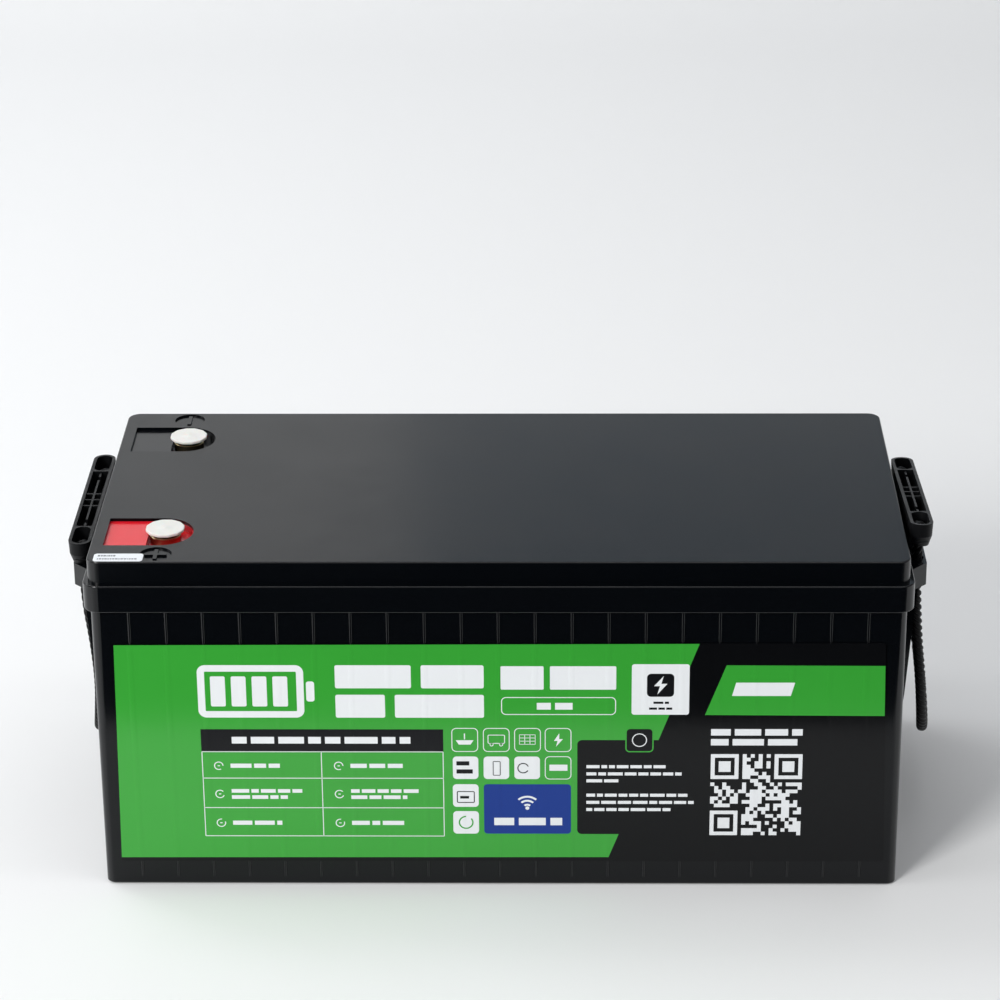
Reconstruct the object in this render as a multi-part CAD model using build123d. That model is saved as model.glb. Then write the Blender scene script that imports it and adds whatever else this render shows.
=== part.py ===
"""Deep cycle battery: a sealed 24 V lithium battery with rope handles, one STEP file per piece.

Frame: origin at the centre of the base, +X along the long side, +Y to the back long side, +Z up. Millimetres.
The terminals are at the -X end, the positive one at the front (-Y).
"""
from build123d import *
import math
import os

# ---------------------------------------------------------------- overall sizes
rim_length = 498.0          # outside of the rim band along X
rim_width = 238.0           # outside of the rim band along Y
lid_top = 221.0             # top face of the lid above the base
lid_depth = 14.7            # visible height of the lid, from its top to the rim
rim_height = 17.6           # height of the rim band
rim_overhang = 4.0          # rim band stands this far out of the case walls
lid_inset = 3.0             # lid is this much smaller all round than the rim band
edge_round = 0.9            # outer edges of the rim band and the lid

# ---------------------------------------------------------------- case
case_wall = 4.0
case_floor = 5.0
case_corner = 6.0
rim_corner = 10.0
rib_pitch = 22.19           # upright beads on the walls
rib_width = 2.0
rib_proud = 0.8
rib_clear_of_corner = 20.0  # no bead nearer than this to a corner
rib_foot = 6.0              # height at which the beads start
gusset_width = 4.0
gusset_foot = 60.0

# ---------------------------------------------------------------- lid
lid_corner = 8.0
lid_plate = 4.0
lid_skirt = 3.0
tongue = 2.4                # skirt that plugs into the case
tongue_depth = 9.0
tongue_gap = 0.2
gasket_width = 1.6
gasket_height = 1.2
sign_depth = 1.2            # each polarity sign stands in a round recess this deep
sign_radius = 9.7
sign_bar = 2.3
sign_bar_length = 13.4
sign_from_pocket = 32.2     # centre of a sign from the centre of its pocket

# ---------------------------------------------------------------- terminal pockets
pocket_y = 72.0             # pocket centre from the long axis
pocket_width = 39.5
pocket_left = 10.7          # pocket's square end from the rim band's end
pocket_length = 53.0
pocket_wall = 1.4           # round the hollow under the shelf
pocket_rim = 0.8            # round the well
pocket_shelf = 2.0          # depth of the shallow part
pocket_well = 6.0           # depth of the deep part
well_length = 27.6          # deep part, from the round end
base_flange = 4.0           # flange under the lid plate
base_flange_thickness = 2.0

# ---------------------------------------------------------------- terminals (M8)
terminal_radius = 9.5
terminal_from_end = 17.2    # terminal axis from the pocket's round end
terminal_below_top = 0.8
shank_radius = 6.0
shank_length = 22.0
thread_radius = 3.4         # tapping radius of M8
thread_depth = 13.0
nut_height = 6.5
nut_across_flats = 19.0
washer_radius = 10.0
washer_thickness = 1.2
fit_gap = 0.08              # running clearance, radial

# ---------------------------------------------------------------- terminal caps
cap_radius = 12.0           # over the corners
cap_height = 1.9
cap_sides = 12
cap_stem_length = 10.0
cap_washer_radius = 8.0
cap_washer_thickness = 1.9
washer_clearance = 0.4

# ---------------------------------------------------------------- handles
ear_reach = 12.0            # lug stands this far out of the rim band
ear_half = 63.0             # half the lug's outer length
ear_top = 196.0
ear_thickness = 14.5
rope_diameter = 6.9
rope_hole_radius = 4.2
rope_y = 55.0               # rope holes from the middle
rope_from_rim = 6.6         # rope axis from the rim band's end
grip_length = 139.0
grip_width = 14.0
grip_height = 15.0
grip_foot_width = 9.5       # width of the grip's underside
grip_rim = 2.0              # wall round the open top
grip_floor = 3.0
grip_rib = 1.2
grip_gap = 0.4              # grip to rim band, and grip to lug
knot_radius = 4.6
knot_height = 7.0
raised_tilt = 6.0           # degrees: the right grip lies with its front end up
raised_shift = 5.0          # and is pushed this far to the front

# ---------------------------------------------------------------- labels
label_width = 470.0
label_height = 150.0
label_foot = 16.5
label_thickness = 0.3
label_corner = 3.0
sticker_length = 29.6
sticker_width = 10.6
sticker_thickness = 0.3
sticker_from_corner = (4.4, 1.1)   # from the lid's left and front edges

# ---------------------------------------------------------------- cells (3.2 V 200 Ah prismatic)
cell_count = 8
cell_thickness = 53.8
cell_reach = 200.0          # along Y, can only
cell_height = 174.0
cell_corner = 3.0
separator_thickness = 1.0
base_pad_thickness = 3.0
side_sheet_thickness = 1.5
side_sheet_gap = 0.5
end_plate_thickness = 4.0
stud_boss_radius = 8.0
stud_boss_height = 2.0
stud_radius = 3.0
stud_length = 8.5
stud_pitch = 120.0          # between a cell's two studs, up the cell
vent_radius = 9.0
busbar_width = 18.0
busbar_thickness = 2.0
busbar_nut_radius = 5.5
busbar_nut_height = 4.5
strap_width = 16.0
strap_thickness = 0.8

# ---------------------------------------------------------------- control board
tray_length = 250.0
tray_width = 130.0
tray_thickness = 3.0
board_length = 220.0
board_width = 105.0
board_thickness = 1.6
board_lift = 5.0
board_x = 95.0
sink_length = 150.0
sink_width = 60.0
sink_base = 4.0
sink_fin_height = 9.0
sink_fins = 11
transistor_count = 12
board_screw_radius = 1.5

# ---------------------------------------------------------------- leads
lead_radius = 4.6
lug_length = 26.0
lug_width = 20.0
lug_thickness = 2.5
harness_radius = 2.2
lead_clear_of_terminal = 22.0   # positive lead passes this far outside the terminals

# ---------------------------------------------------------------- worked out
body_length = rim_length - 2 * rim_overhang
body_width = rim_width - 2 * rim_overhang
case_top = lid_top - lid_depth
rim_foot = case_top - rim_height
cavity_length = body_length - 2 * case_wall
cavity_width = body_width - 2 * case_wall
lid_length = rim_length - 2 * lid_inset
lid_width = rim_width - 2 * lid_inset
plate_underside = lid_top - lid_plate
pocket_start = -rim_length / 2 + pocket_left
pocket_end = pocket_start + pocket_length
well_start = pocket_end - well_length
terminal_x = pocket_end - terminal_from_end
well_floor = lid_top - pocket_well
well_underside = well_floor - base_flange_thickness
terminal_top = lid_top - terminal_below_top
terminal_foot = well_floor - shank_length
cap_foot = terminal_top + cap_washer_thickness
ear_out = rim_length / 2 + ear_reach
ear_foot = ear_top - ear_thickness
rope_x = rim_length / 2 + rope_from_rim
rope_radius = rope_diameter / 2
grip_x = rim_length / 2 + grip_gap + grip_width / 2
grip_foot = ear_top + grip_gap
cell_pitch = cell_thickness + separator_thickness
stack_length = cell_count * cell_pitch - separator_thickness
cell_foot = case_floor + base_pad_thickness + strap_thickness
cell_top = cell_foot + cell_height
cell_middle_z = cell_foot + cell_height / 2
cell_front = -cavity_width / 2 + side_sheet_gap + side_sheet_thickness
cell_back = cell_front + cell_reach
busbar_y = cell_back + stud_boss_height
tray_z = cell_top + strap_thickness + 0.7
board_top = tray_z + tray_thickness + board_lift + board_thickness
label_y = -body_width / 2 - rib_proud


def block(size_x, size_y, size_z, x=0.0, y=0.0, z=0.0):
    """A box centred on x and y that stands on z."""
    return Pos(x, y, z + size_z / 2) * Box(size_x, size_y, size_z)


def rounded(length, width, radius, foot, top):
    """An upright block with rounded vertical corners, from foot to top."""
    return Pos(0, 0, foot) * extrude(RectangleRounded(length, width, radius), top - foot)


def rod(radius, foot, top, x=0.0, y=0.0):
    """An upright cylinder from foot to top."""
    return Pos(x, y, (foot + top) / 2) * Cylinder(radius, top - foot)


def save(name, *shapes):
    """Writes one node as one STEP file."""
    solids = [solid for shape in shapes for solid in shape.solids()]
    out = Compound(children=solids) if len(solids) > 1 else solids[0]
    out.label = name
    export_step(out, f"parts/{name}.step")


# ---------------------------------------------------------------- case
def wall_beads():
    """Upright beads on the four walls, as many as fit at the pitch."""
    beads = []
    height = rim_foot - rib_foot
    for length, width, turned in ((body_length, body_width, 0), (body_width, body_length, 90)):
        count = int((length - 2 * rib_clear_of_corner) / rib_pitch) + 1
        for i in range(count):
            along = (i - (count - 1) / 2) * rib_pitch
            for side in (-1, 1):
                bead = rod(rib_width / 2, rib_foot, rib_foot + height, along, side * (width / 2 + rib_proud - rib_width / 2))
                beads.append(Rot(0, 0, turned) * bead)
    return beads


def ear(side):
    """Lug at one end with chamfered ends, its two rope holes and two gussets under it."""
    wall = body_length / 2 - case_wall / 2
    slope = ear_out - rim_length / 2
    outline = Polyline(
        (wall, -ear_half - slope), (rim_length / 2, -ear_half - slope), (ear_out, -ear_half),
        (ear_out, ear_half), (rim_length / 2, ear_half + slope), (wall, ear_half + slope), close=True,
    )
    plate = Pos(0, 0, ear_foot) * extrude(make_face(outline), ear_thickness)
    knee = ear_foot - 26.0
    gusset_line = Polyline(
        (wall, ear_foot), (ear_out - 5.0, ear_foot), (ear_out - 7.2, knee),
        (ear_out - 10.5, (knee + gusset_foot) / 2), (body_length / 2, gusset_foot),
        (wall, gusset_foot), close=True,
    )
    gusset = extrude(Plane.XZ * make_face(gusset_line), gusset_width / 2, both=True)
    shape = plate
    for end in (-1, 1):
        shape += Pos(0, end * (ear_half + 1), 0) * gusset
    for end in (-1, 1):
        shape -= rod(rope_hole_radius, ear_foot - 1, ear_top + 1, rope_x, end * rope_y)
    return shape if side > 0 else Rot(0, 0, 180) * shape


def make_case():
    outside = rounded(body_length, body_width, case_corner, 0, case_top)
    outside = chamfer(outside.faces().sort_by(Axis.Z)[0].edges(), 1.2)
    rim = rounded(rim_length, rim_width, rim_corner, rim_foot, case_top)
    rim = fillet(rim.faces().sort_by(Axis.Z)[0].edges() + rim.faces().sort_by(Axis.Z)[-1].edges(), edge_round)
    shell = outside + rim + wall_beads() + ear(1) + ear(-1)
    shell -= rounded(cavity_length, cavity_width, case_corner - case_wall, case_floor, case_top + 1)
    return shell


# ---------------------------------------------------------------- lid
def pocket_face(grow=0.0, start=None):
    """D-shaped outline: square at the -X end, a half circle at the other, centred on y = 0.

    grow moves its edge outward. start cuts it off square at that x, for the deep part only.
    """
    radius = pocket_width / 2 + grow
    middle = pocket_end - pocket_width / 2
    left = pocket_start - grow
    outline = Pos((left + middle) / 2, 0) * Rectangle(middle - left, 2 * radius) + Pos(middle, 0) * Circle(radius)
    if start is None:
        return outline
    kept = pocket_end + grow - start
    return outline & (Pos(start + kept / 2, 0) * Rectangle(kept, 2 * radius + 1))


def polarity_sign(side):
    """Round recess in which a plus stands at the front pocket or a single bar at the back one."""
    y = side * (pocket_y + sign_from_pocket)
    bar = Rectangle(sign_bar, sign_bar_length)
    recess = Circle(sign_radius) - bar
    if side < 0:
        recess -= Rot(0, 0, 90) * bar
    return Pos(pocket_end - pocket_width / 2, y, lid_top - sign_depth) * extrude(recess, sign_depth + 1)


def make_lid():
    outside = rounded(lid_length, lid_width, lid_corner, case_top, lid_top)
    outside = fillet(outside.faces().sort_by(Axis.Z)[-1].edges(), edge_round)
    inside_length = lid_length - 2 * lid_skirt
    inside_width = lid_width - 2 * lid_skirt
    outside -= rounded(inside_length, inside_width, lid_corner - lid_skirt, case_top - 1, plate_underside)
    plug_length = cavity_length - 2 * tongue_gap
    plug_width = cavity_width - 2 * tongue_gap
    plug = rounded(plug_length, plug_width, case_corner - case_wall, case_top - tongue_depth, case_top)
    plug -= rounded(plug_length - 2 * tongue, plug_width - 2 * tongue, 2.0, 0, lid_top)
    step = rounded(inside_length, inside_width, lid_corner - lid_skirt, case_top, case_top + 2)
    step -= rounded(plug_length - 2 * tongue, plug_width - 2 * tongue, 2.0, 0, lid_top)
    shape = outside + plug + step
    for side in (-1, 1):
        shape -= Pos(0, side * pocket_y, 0) * extrude(pocket_face(), lid_top + 1)
        shape -= polarity_sign(side)
    return shape - gasket_ring(0.0)


def gasket_ring(play=0.05):
    """Square-section ring in a groove under the lid, on top of the case wall."""
    length = cavity_length + 2 * 1.2 + 2 * gasket_width
    width = cavity_width + 2 * 1.2 + 2 * gasket_width
    ring = rounded(length - 2 * play, width - 2 * play, case_corner - 1, case_top, case_top + gasket_height)
    inner = rounded(length - 2 * gasket_width + 2 * play, width - 2 * gasket_width + 2 * play,
                    case_corner - 2, case_top - 1, lid_top)
    return ring - inner


def make_base(side):
    """Moulded tub of one pocket: shelf, well and the flange that seals it under the lid plate."""
    tub = Pos(0, 0, well_underside) * extrude(pocket_face(), lid_top - pocket_shelf - well_underside)
    tub += Pos(0, 0, plate_underside - base_flange_thickness) * extrude(
        pocket_face(base_flange), base_flange_thickness)
    tub -= Pos(0, 0, well_floor) * extrude(pocket_face(-pocket_rim, well_start), pocket_well + 1)
    hollow = Pos((pocket_start + well_start) / 2, 0, well_underside - 1)
    hollow_length = well_start - pocket_start - 2 * pocket_wall
    depth = lid_top - pocket_shelf - 2 * pocket_wall - well_underside + 1
    tub -= hollow * extrude(Rectangle(hollow_length, pocket_width - 2 * pocket_wall), depth)
    tub -= rod(shank_radius + fit_gap, 0, lid_top, terminal_x)
    return Pos(0, side * pocket_y, 0) * tub


def make_terminal(side):
    """Post with a shoulder in the well, a shank through its floor and a blind M8 hole in its top."""
    post = rod(terminal_radius, well_floor, terminal_top, terminal_x)
    post = chamfer(post.faces().sort_by(Axis.Z)[-1].edges(), 0.6)
    post += rod(shank_radius, terminal_foot, well_floor, terminal_x)
    post -= rod(thread_radius, terminal_top - thread_depth, terminal_top + 1, terminal_x)
    return Pos(0, side * pocket_y, 0) * post


def make_cap(side):
    """Many-sided thumb cap with a plain stem where its thread is."""
    disc = Pos(terminal_x, 0, cap_foot) * extrude(RegularPolygon(cap_radius, cap_sides), cap_height)
    disc = chamfer(disc.faces().sort_by(Axis.Z)[-1].edges(), 0.5)
    stem = rod(thread_radius - fit_gap, cap_foot - cap_stem_length, cap_foot, terminal_x)
    return Pos(0, side * pocket_y, 0) * (disc + stem)


def make_cap_washer(side):
    ring = rod(cap_washer_radius, terminal_top, cap_foot, terminal_x)
    ring -= rod(thread_radius + washer_clearance, 0, lid_top + 9, terminal_x)
    return Pos(0, side * pocket_y, 0) * ring


def terminal_hardware(side):
    """(nuts, washers, stacked lug place): what clamps the shank under the well, top down."""
    x, y = terminal_x, side * pocket_y
    under = well_underside
    washer = rod(washer_radius, under - washer_thickness, under, x, y) - rod(shank_radius + 0.3, 0, 300, x, y)
    nut_face = RegularPolygon(nut_across_flats / 2, 6, major_radius=False) - Circle(shank_radius + fit_gap)
    top_nut = Pos(x, y, under - washer_thickness - nut_height) * extrude(nut_face, nut_height)
    lug_top = under - washer_thickness - nut_height
    return top_nut, washer, lug_top


# ---------------------------------------------------------------- handles
def make_grip():
    """Grip lying along Y with its foot's centre at the origin: open ribbed top, round underside."""
    top = Pos(0, 0, grip_height) * Rot(0, 0, 90) * SlotOverall(grip_length, grip_width)
    waist = Pos(0, 0, grip_height * 0.45) * Rot(0, 0, 90) * SlotOverall(grip_length - 1, grip_width - 0.8)
    foot = Rot(0, 0, 90) * SlotOverall(grip_length - 8, grip_foot_width)
    body = loft([foot, waist, top], ruled=True)
    inner_width = grip_width - 2 * grip_rim
    inner_length = grip_length - 2 * grip_rim
    pocket_span = 24.0
    depth = grip_height - grip_floor
    end_room = Rot(0, 0, 90) * SlotOverall(pocket_span, inner_width)
    for end in (-1, 1):
        centre = end * (inner_length - pocket_span) / 2
        body -= Pos(0, centre, grip_floor) * extrude(end_room, depth + 1)
        slot = Rot(0, 0, 90) * SlotOverall(18.6, 2 * (rope_radius + 1.15))
        body -= Pos(0, end * (rope_y - 0.3), -1) * extrude(slot, grip_floor + 2)
    middle_length = inner_length - 2 * pocket_span - 2 * grip_rib
    middle = block(inner_width, middle_length, depth, 0, 0, grip_floor + 1.5)
    rib_top = grip_height - 1.0
    for offset in (-9.0, 0.0, 9.0):
        middle -= block(inner_width + 1, grip_rib, rib_top, 0, offset)
    for sign in (-1, 1):
        middle -= block(grip_rib, 0.38 * middle_length, rib_top, 0, sign * 0.17 * middle_length)
        middle -= block(grip_rib, 0.10 * middle_length, rib_top, 0, sign * 0.47 * middle_length)
    return body - middle


def place_handle(shape, side):
    """Left handle lies flat on its lug; the right one rests on its back end with the front end up."""
    if side < 0:
        return Pos(-grip_x, 0, grip_foot) * shape
    heel = (grip_length - 8) / 2
    turned = Pos(0, heel, 0) * (Rot(-raised_tilt, 0, 0) * (Pos(0, -heel, 0) * shape))
    return Pos(grip_x, -raised_shift, grip_foot) * turned


def knot():
    body = Pos(0, 0, knot_height / 2) * Cylinder(knot_radius, knot_height)
    return fillet(body.edges(), 1.5)


def rope_route(side):
    """Points that one rope follows, from the front pocket down, round the hanging bow and up to the back pocket.

    They are chosen by hand: the bow hangs under its own weight and leans as a laid rope does.
    """
    if side > 0:
        return [
            (rope_x, -rope_y, 213.2), (rope_x, -rope_y, 176.0), (rope_x + 2.6, 2.5 - rope_y, 140.0),
            (rope_x + 7.0, 9.5 - rope_y, 107.0), (rope_x + 10.0, 22.0 - rope_y, 78.0), (rope_x + 12.6, 40.0 - rope_y, 57.0),
            (rope_x + 15.8, rope_y - 48.0, 50.5), (rope_x + 16.4, rope_y - 27.0, 63.0), (rope_x + 14.2, rope_y - 12.0, 88.0),
            (rope_x + 9.4, rope_y - 3.5, 120.0), (rope_x, rope_y, 162.0), (rope_x, rope_y, 201.7),
        ]
    return [
        (-rope_x, -rope_y, 200.6), (-rope_x, -rope_y, 167.0), (3.4 - rope_x, 2.5 - rope_y, 136.0),
        (3.8 - rope_x, 10.0 - rope_y, 104.0), (0.6 - rope_x, 22.0 - rope_y, 77.0), (-3.0 - rope_x, 40.0 - rope_y, 57.0),
        (-4.8 - rope_x, rope_y - 48.0, 51.5), (-3.2 - rope_x, rope_y - 27.0, 63.0), (0.6 - rope_x, rope_y - 12.0, 88.0),
        (3.2 - rope_x, rope_y - 3.5, 121.0), (-rope_x, rope_y, 162.0), (-rope_x, rope_y, 200.6),
    ]


def route_radii(points):
    """Each corner's radius: 0.45 of its shorter run over the tangent of half the turn."""
    radii = []
    for before, here, after in zip(points, points[1:], points[2:]):
        a, b = Vector(*here) - Vector(*before), Vector(*after) - Vector(*here)
        half = math.radians(a.get_angle(b)) / 2
        radii.append(0.45 * min(a.length, b.length) / math.tan(half))
    return radii


def tube(points, radius):
    """Round tube along straight runs joined by tangent arcs."""
    path = FilletPolyline(*points, radius=route_radii(points))
    start = Plane(origin=points[0], z_dir=Vector(*points[1]) - Vector(*points[0]))
    return sweep(start * Circle(radius), path=path), path.length


def make_handle(side, name):
    points = rope_route(side)
    rope, length = tube(points, rope_radius)
    radii = [round(r, 1) for r in route_radii(points)]
    print(name, "rope length", round(length, 1), "radii", radii,
          "volume share", round(rope.volume / (math.pi * rope_radius**2 * length), 4))
    knots = []
    for x, y, z in (points[0], points[-1]):
        knots.append(Pos(side * grip_x, y, z) * knot())
    save(f"handle_grip_{name}", place_handle(make_grip(), side))
    save(f"handle_rope_{name}", rope)
    save(f"rope_knots_{name}", *knots)


# ---------------------------------------------------------------- labels
def make_label():
    face = RectangleRounded(label_width, label_height, label_corner)
    sheet = extrude(Plane.XZ * face, label_thickness)
    return Pos(0, label_y, label_foot + label_height / 2) * sheet


def make_sticker():
    left, front = sticker_from_corner
    face = RectangleRounded(sticker_length, sticker_width, 2.5)
    x = -lid_length / 2 + left + sticker_length / 2
    y = -lid_width / 2 + front + sticker_width / 2
    return Pos(x, y, lid_top) * extrude(face, sticker_thickness)


# ---------------------------------------------------------------- cells
def cell_x(i):
    return (i - (cell_count - 1) / 2) * cell_pitch


def stud_z(i, upper):
    """Neighbouring cells are turned over, so that a busbar always joins plus to minus."""
    return cell_middle_z + (stud_pitch / 2 if upper else -stud_pitch / 2)


def make_cell(i):
    can = block(cell_thickness, cell_reach, cell_height, cell_x(i), (cell_front + cell_back) / 2, cell_foot)
    can = fillet(can.edges().filter_by(Axis.Y), cell_corner)
    lying = Rot(-90, 0, 0)
    for upper in (False, True):
        place = Pos(cell_x(i), cell_back, stud_z(i, upper)) * lying
        can += place * (Pos(0, 0, stud_boss_height / 2) * Cylinder(stud_boss_radius, stud_boss_height))
        can += place * (Pos(0, 0, stud_length / 2) * Cylinder(stud_radius, stud_length))
    vent = Pos(cell_x(i), cell_back, cell_middle_z) * lying * Cylinder(vent_radius, 1.0)
    return can - vent


def make_busbars():
    """Seven bars in series, zigzagging up and down the stack, each with two stud holes."""
    bars = []
    for i in range(cell_count - 1):
        z = stud_z(i, i % 2 == 0)
        x = (cell_x(i) + cell_x(i + 1)) / 2
        bar = Pos(x, busbar_y + busbar_thickness / 2, z) * Box(
            cell_pitch + busbar_width, busbar_thickness, busbar_width)
        bar = fillet(bar.edges().filter_by(Axis.Y), 4.0)
        for at in (cell_x(i), cell_x(i + 1)):
            bar -= Pos(at, busbar_y + 1, z) * Rot(90, 0, 0) * Cylinder(stud_radius + 0.2, 9)
        bars.append(bar)
    return bars


def make_busbar_nuts():
    nuts = []
    for i in range(cell_count):
        for upper in (False, True):
            face = RegularPolygon(busbar_nut_radius, 6) - Circle(stud_radius + fit_gap)
            last_free = cell_count % 2 == 1
            end_stud = (i == 0 and not upper) or (i == cell_count - 1 and upper == last_free)
            seat = busbar_y + (lug_thickness if end_stud else busbar_thickness)
            place = Pos(cell_x(i), seat, stud_z(i, upper)) * Rot(-90, 0, 0)
            nuts.append(place * extrude(face, busbar_nut_height))
    return nuts


# ---------------------------------------------------------------- what holds the cells
def make_separators():
    middle_y = (cell_front + cell_back) / 2
    return [block(separator_thickness, cell_reach, cell_height, cell_x(i) + cell_pitch / 2, middle_y, cell_foot)
            for i in range(cell_count - 1)]


def stack_ends(thickness, gap, width, foot, top, y):
    """The same block at both ends of the stack, gap away from it."""
    x = stack_length / 2 + gap + thickness / 2
    return [block(thickness, width, top - foot, side * x, y, foot) for side in (-1, 1)]


def make_straps():
    """Bands round the stack and its end plates, over the top and under the cells."""
    half_length = stack_length / 2 + end_plate_thickness
    outer_height = cell_height + 2 * strap_thickness
    bands = []
    for y in (cell_front + 38.0, cell_back - 38.0):
        outer = RectangleRounded(2 * half_length + 2 * strap_thickness, outer_height, strap_thickness + 0.6)
        inner = Rectangle(2 * half_length, cell_height)
        band = extrude(Plane.XZ * (outer - inner), strap_width / 2, both=True)
        bands.append(Pos(0, y, cell_middle_z) * band)
    return bands


# ---------------------------------------------------------------- control board
def on_board(size_x, size_y, size_z, x, y, lift=0.0):
    """A part standing on the board's upper face."""
    return block(size_x, size_y, size_z, board_x + x, y, board_top + lift)


def board_corners(inset=5.0):
    return [(board_x + sx * (board_length / 2 - inset), sy * (board_width / 2 - inset))
            for sx in (-1, 1) for sy in (-1, 1)]


def make_tray():
    tray = block(tray_length, tray_width, tray_thickness, board_x, 0, tray_z)
    tray = fillet(tray.edges().filter_by(Axis.Z), 5.0)
    for x, y in board_corners():
        tray += rod(3.5, tray_z + tray_thickness, tray_z + tray_thickness + board_lift, x, y)
        tray -= rod(board_screw_radius, tray_z + 1, board_top, x, y)
    return tray


def make_board():
    board = block(board_length, board_width, board_thickness, board_x, 0, board_top - board_thickness)
    for x, y in board_corners():
        board -= rod(board_screw_radius + 0.2, tray_z, board_top + 1, x, y)
    return board


def make_screws():
    return [rod(board_screw_radius - 0.05, tray_z + 2, board_top, x, y) + rod(2.9, board_top, board_top + 1.8, x, y)
            for x, y in board_corners()]


transistor_height = 4.5
thermal_pad_thickness = 0.5
sink_y = -10.0


def make_transistors():
    per_row = transistor_count // 2
    return [on_board(10, 9, transistor_height, (i - (per_row - 1) / 2) * 23.0, sink_y + row * 15.0)
            for i in range(per_row) for row in (-1, 1)]


def make_heat_sink():
    lift = transistor_height + thermal_pad_thickness
    sink = on_board(sink_length, sink_width, sink_base, 0, sink_y, lift)
    pitch = (sink_width - 2.0) / (sink_fins - 1)
    for i in range(sink_fins):
        y = sink_y + (i - (sink_fins - 1) / 2) * pitch
        sink += on_board(sink_length, 2.0, sink_fin_height, 0, y, lift + sink_base)
    return sink


def make_connectors():
    balance = on_board(30, 8, 7, 5, 42)
    balance -= on_board(28, 6.4, 7, 5, 42, 1.2)
    comms = on_board(14, 7, 6, -40, 42)
    comms -= on_board(12, 5.4, 6, -40, 42, 1.2)
    return balance, comms


def make_wireless():
    module = on_board(27, 18, 1.2, -80, 36)
    module += on_board(18, 15, 2.2, -77, 36, 1.2)
    return module


# ---------------------------------------------------------------- leads
def make_lug(x, y, z, turn, flip=False):
    """Ring lug with its hole at x, y, its plate's underside at z and its barrel along local +Y, turned about Z."""
    barrel_length, barrel_wall = 16.0, 1.2
    plate = block(lug_width, lug_length - lug_width / 2, lug_thickness, 0, (lug_length - lug_width / 2) / 2)
    plate += rod(lug_width / 2, 0, lug_thickness)
    outer = lead_radius + barrel_wall
    offset = -outer + lug_thickness if flip else outer
    start = lug_length - lug_width / 2
    barrel = Pos(0, start + barrel_length / 2, offset) * Rot(90, 0, 0) * Cylinder(outer, barrel_length)
    lug = plate + barrel
    lug -= Pos(0, start + barrel_length / 2 + 2, offset) * Rot(90, 0, 0) * Cylinder(lead_radius, barrel_length)
    return Pos(x, y, z) * Rot(0, 0, turn) * lug


def stack_lug(i, upright=True):
    """A lug on a cell's free stud at the back of the stack, its barrel pointing up."""
    lug = make_lug(0, 0, 0, 0)
    hole = Cylinder(stud_radius + 0.2, 3 * lug_thickness)
    place = Pos(cell_x(i), busbar_y, stud_z(i, False)) * Rot(90, 0, 0) * Rot(0, 180, 0)
    return place * (lug - hole)


lug_offset = lead_radius + 1.2
lug_reach = lug_length - lug_width / 2 + 2.0      # from the hole to where the lead's end sits in the barrel
terminal_lug_z = well_underside - washer_thickness - nut_height - lug_thickness
terminal_lead_z = terminal_lug_z + lug_thickness - lug_offset
stack_lead_y = busbar_y + lug_offset
board_lead_z = board_top + lug_offset
riser_y = cavity_width / 2 - lead_radius - 1.6
run_z = cell_top + strap_thickness + lead_radius + 4.0
input_pad = (cell_x(cell_count - 1), 22.0)
output_pad = (board_x - board_length / 2 + 12.0, -20.0)


def terminal_lug(side, turn):
    hole = rod(shank_radius + 0.2, -9, 9)
    return Pos(terminal_x, side * pocket_y, terminal_lug_z) * Rot(0, 0, turn) * (make_lug(0, 0, 0, 0, True) - hole)


def lead_routes():
    """The three main leads, from lug to lug."""
    first, last = cell_x(0), cell_x(cell_count - 1)
    foot_z = stud_z(0, False) + lug_reach
    end_x = terminal_x - lead_clear_of_terminal
    positive = [
        (first, stack_lead_y, foot_z), (first, stack_lead_y, foot_z + 30), (first, riser_y, foot_z + 62),
        (first - 2, riser_y, foot_z + 102), (end_x, riser_y - 4, run_z - 2), (end_x - 1, 60.0, run_z + 2),
        (end_x, 5.0, run_z), (end_x + 3, -18.0, terminal_lead_z), (terminal_x, -30.0, terminal_lead_z),
        (terminal_x, -pocket_y + lug_reach, terminal_lead_z),
    ]
    stack_negative = [
        (last, stack_lead_y, foot_z), (last, stack_lead_y, foot_z + 30), (last, riser_y, foot_z + 62),
        (last + 1, riser_y, board_lead_z - 14), (last, riser_y - 16, board_lead_z + 2),
        (input_pad[0], 60.0, board_lead_z), (input_pad[0], input_pad[1] + lug_reach, board_lead_z),
    ]
    output_negative = [
        (output_pad[0] - lug_reach, output_pad[1], board_lead_z), (output_pad[0] - 48, output_pad[1], board_lead_z),
        (terminal_x + 120.5, 8.0, run_z + 2), (terminal_x + 87.5, 52.0, run_z),
        (terminal_x + 52.5, pocket_y, terminal_lead_z),
        (terminal_x + lug_reach, pocket_y, terminal_lead_z),
    ]
    return {"positive_lead": positive, "stack_negative_lead": stack_negative,
            "output_negative_lead": output_negative}


def make_harness():
    """Balance wires: one bundle from the board along the top of the stack, a drop to each junction."""
    y, z = stack_lead_y, cell_top + 4.0
    reach = cell_x(cell_count - 1) - 14.0
    bundle = Pos(0, y, z) * Rot(0, 90, 0) * Cylinder(harness_radius, 2 * reach)
    plug_x = board_x + 5
    branch, _ = tube([(plug_x, y, z), (plug_x, y - 22, z + 2), (plug_x, 58.0, board_top + 9),
                      (plug_x, 42.0, board_top + 12), (plug_x, 41.8, board_top + 1.3)], harness_radius)
    pieces = bundle + branch
    for i in range(cell_count - 1):
        x, low = (cell_x(i) + cell_x(i + 1)) / 2, stud_z(i, i % 2 == 0)
        pieces += rod(0.9, low - 3, z, x, y)
        face, tab = busbar_y + busbar_thickness, y + 0.9
        pieces += block(5, tab - face, 6, x, (tab + face) / 2, low - 3)
    return pieces


def make_sensor():
    bead = Pos(cell_x(3), cell_back - 12, cell_top + 2.0) * Rot(90, 0, 0) * Cylinder(2.0, 18)
    return fillet(bead.edges(), 0.8)


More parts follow.
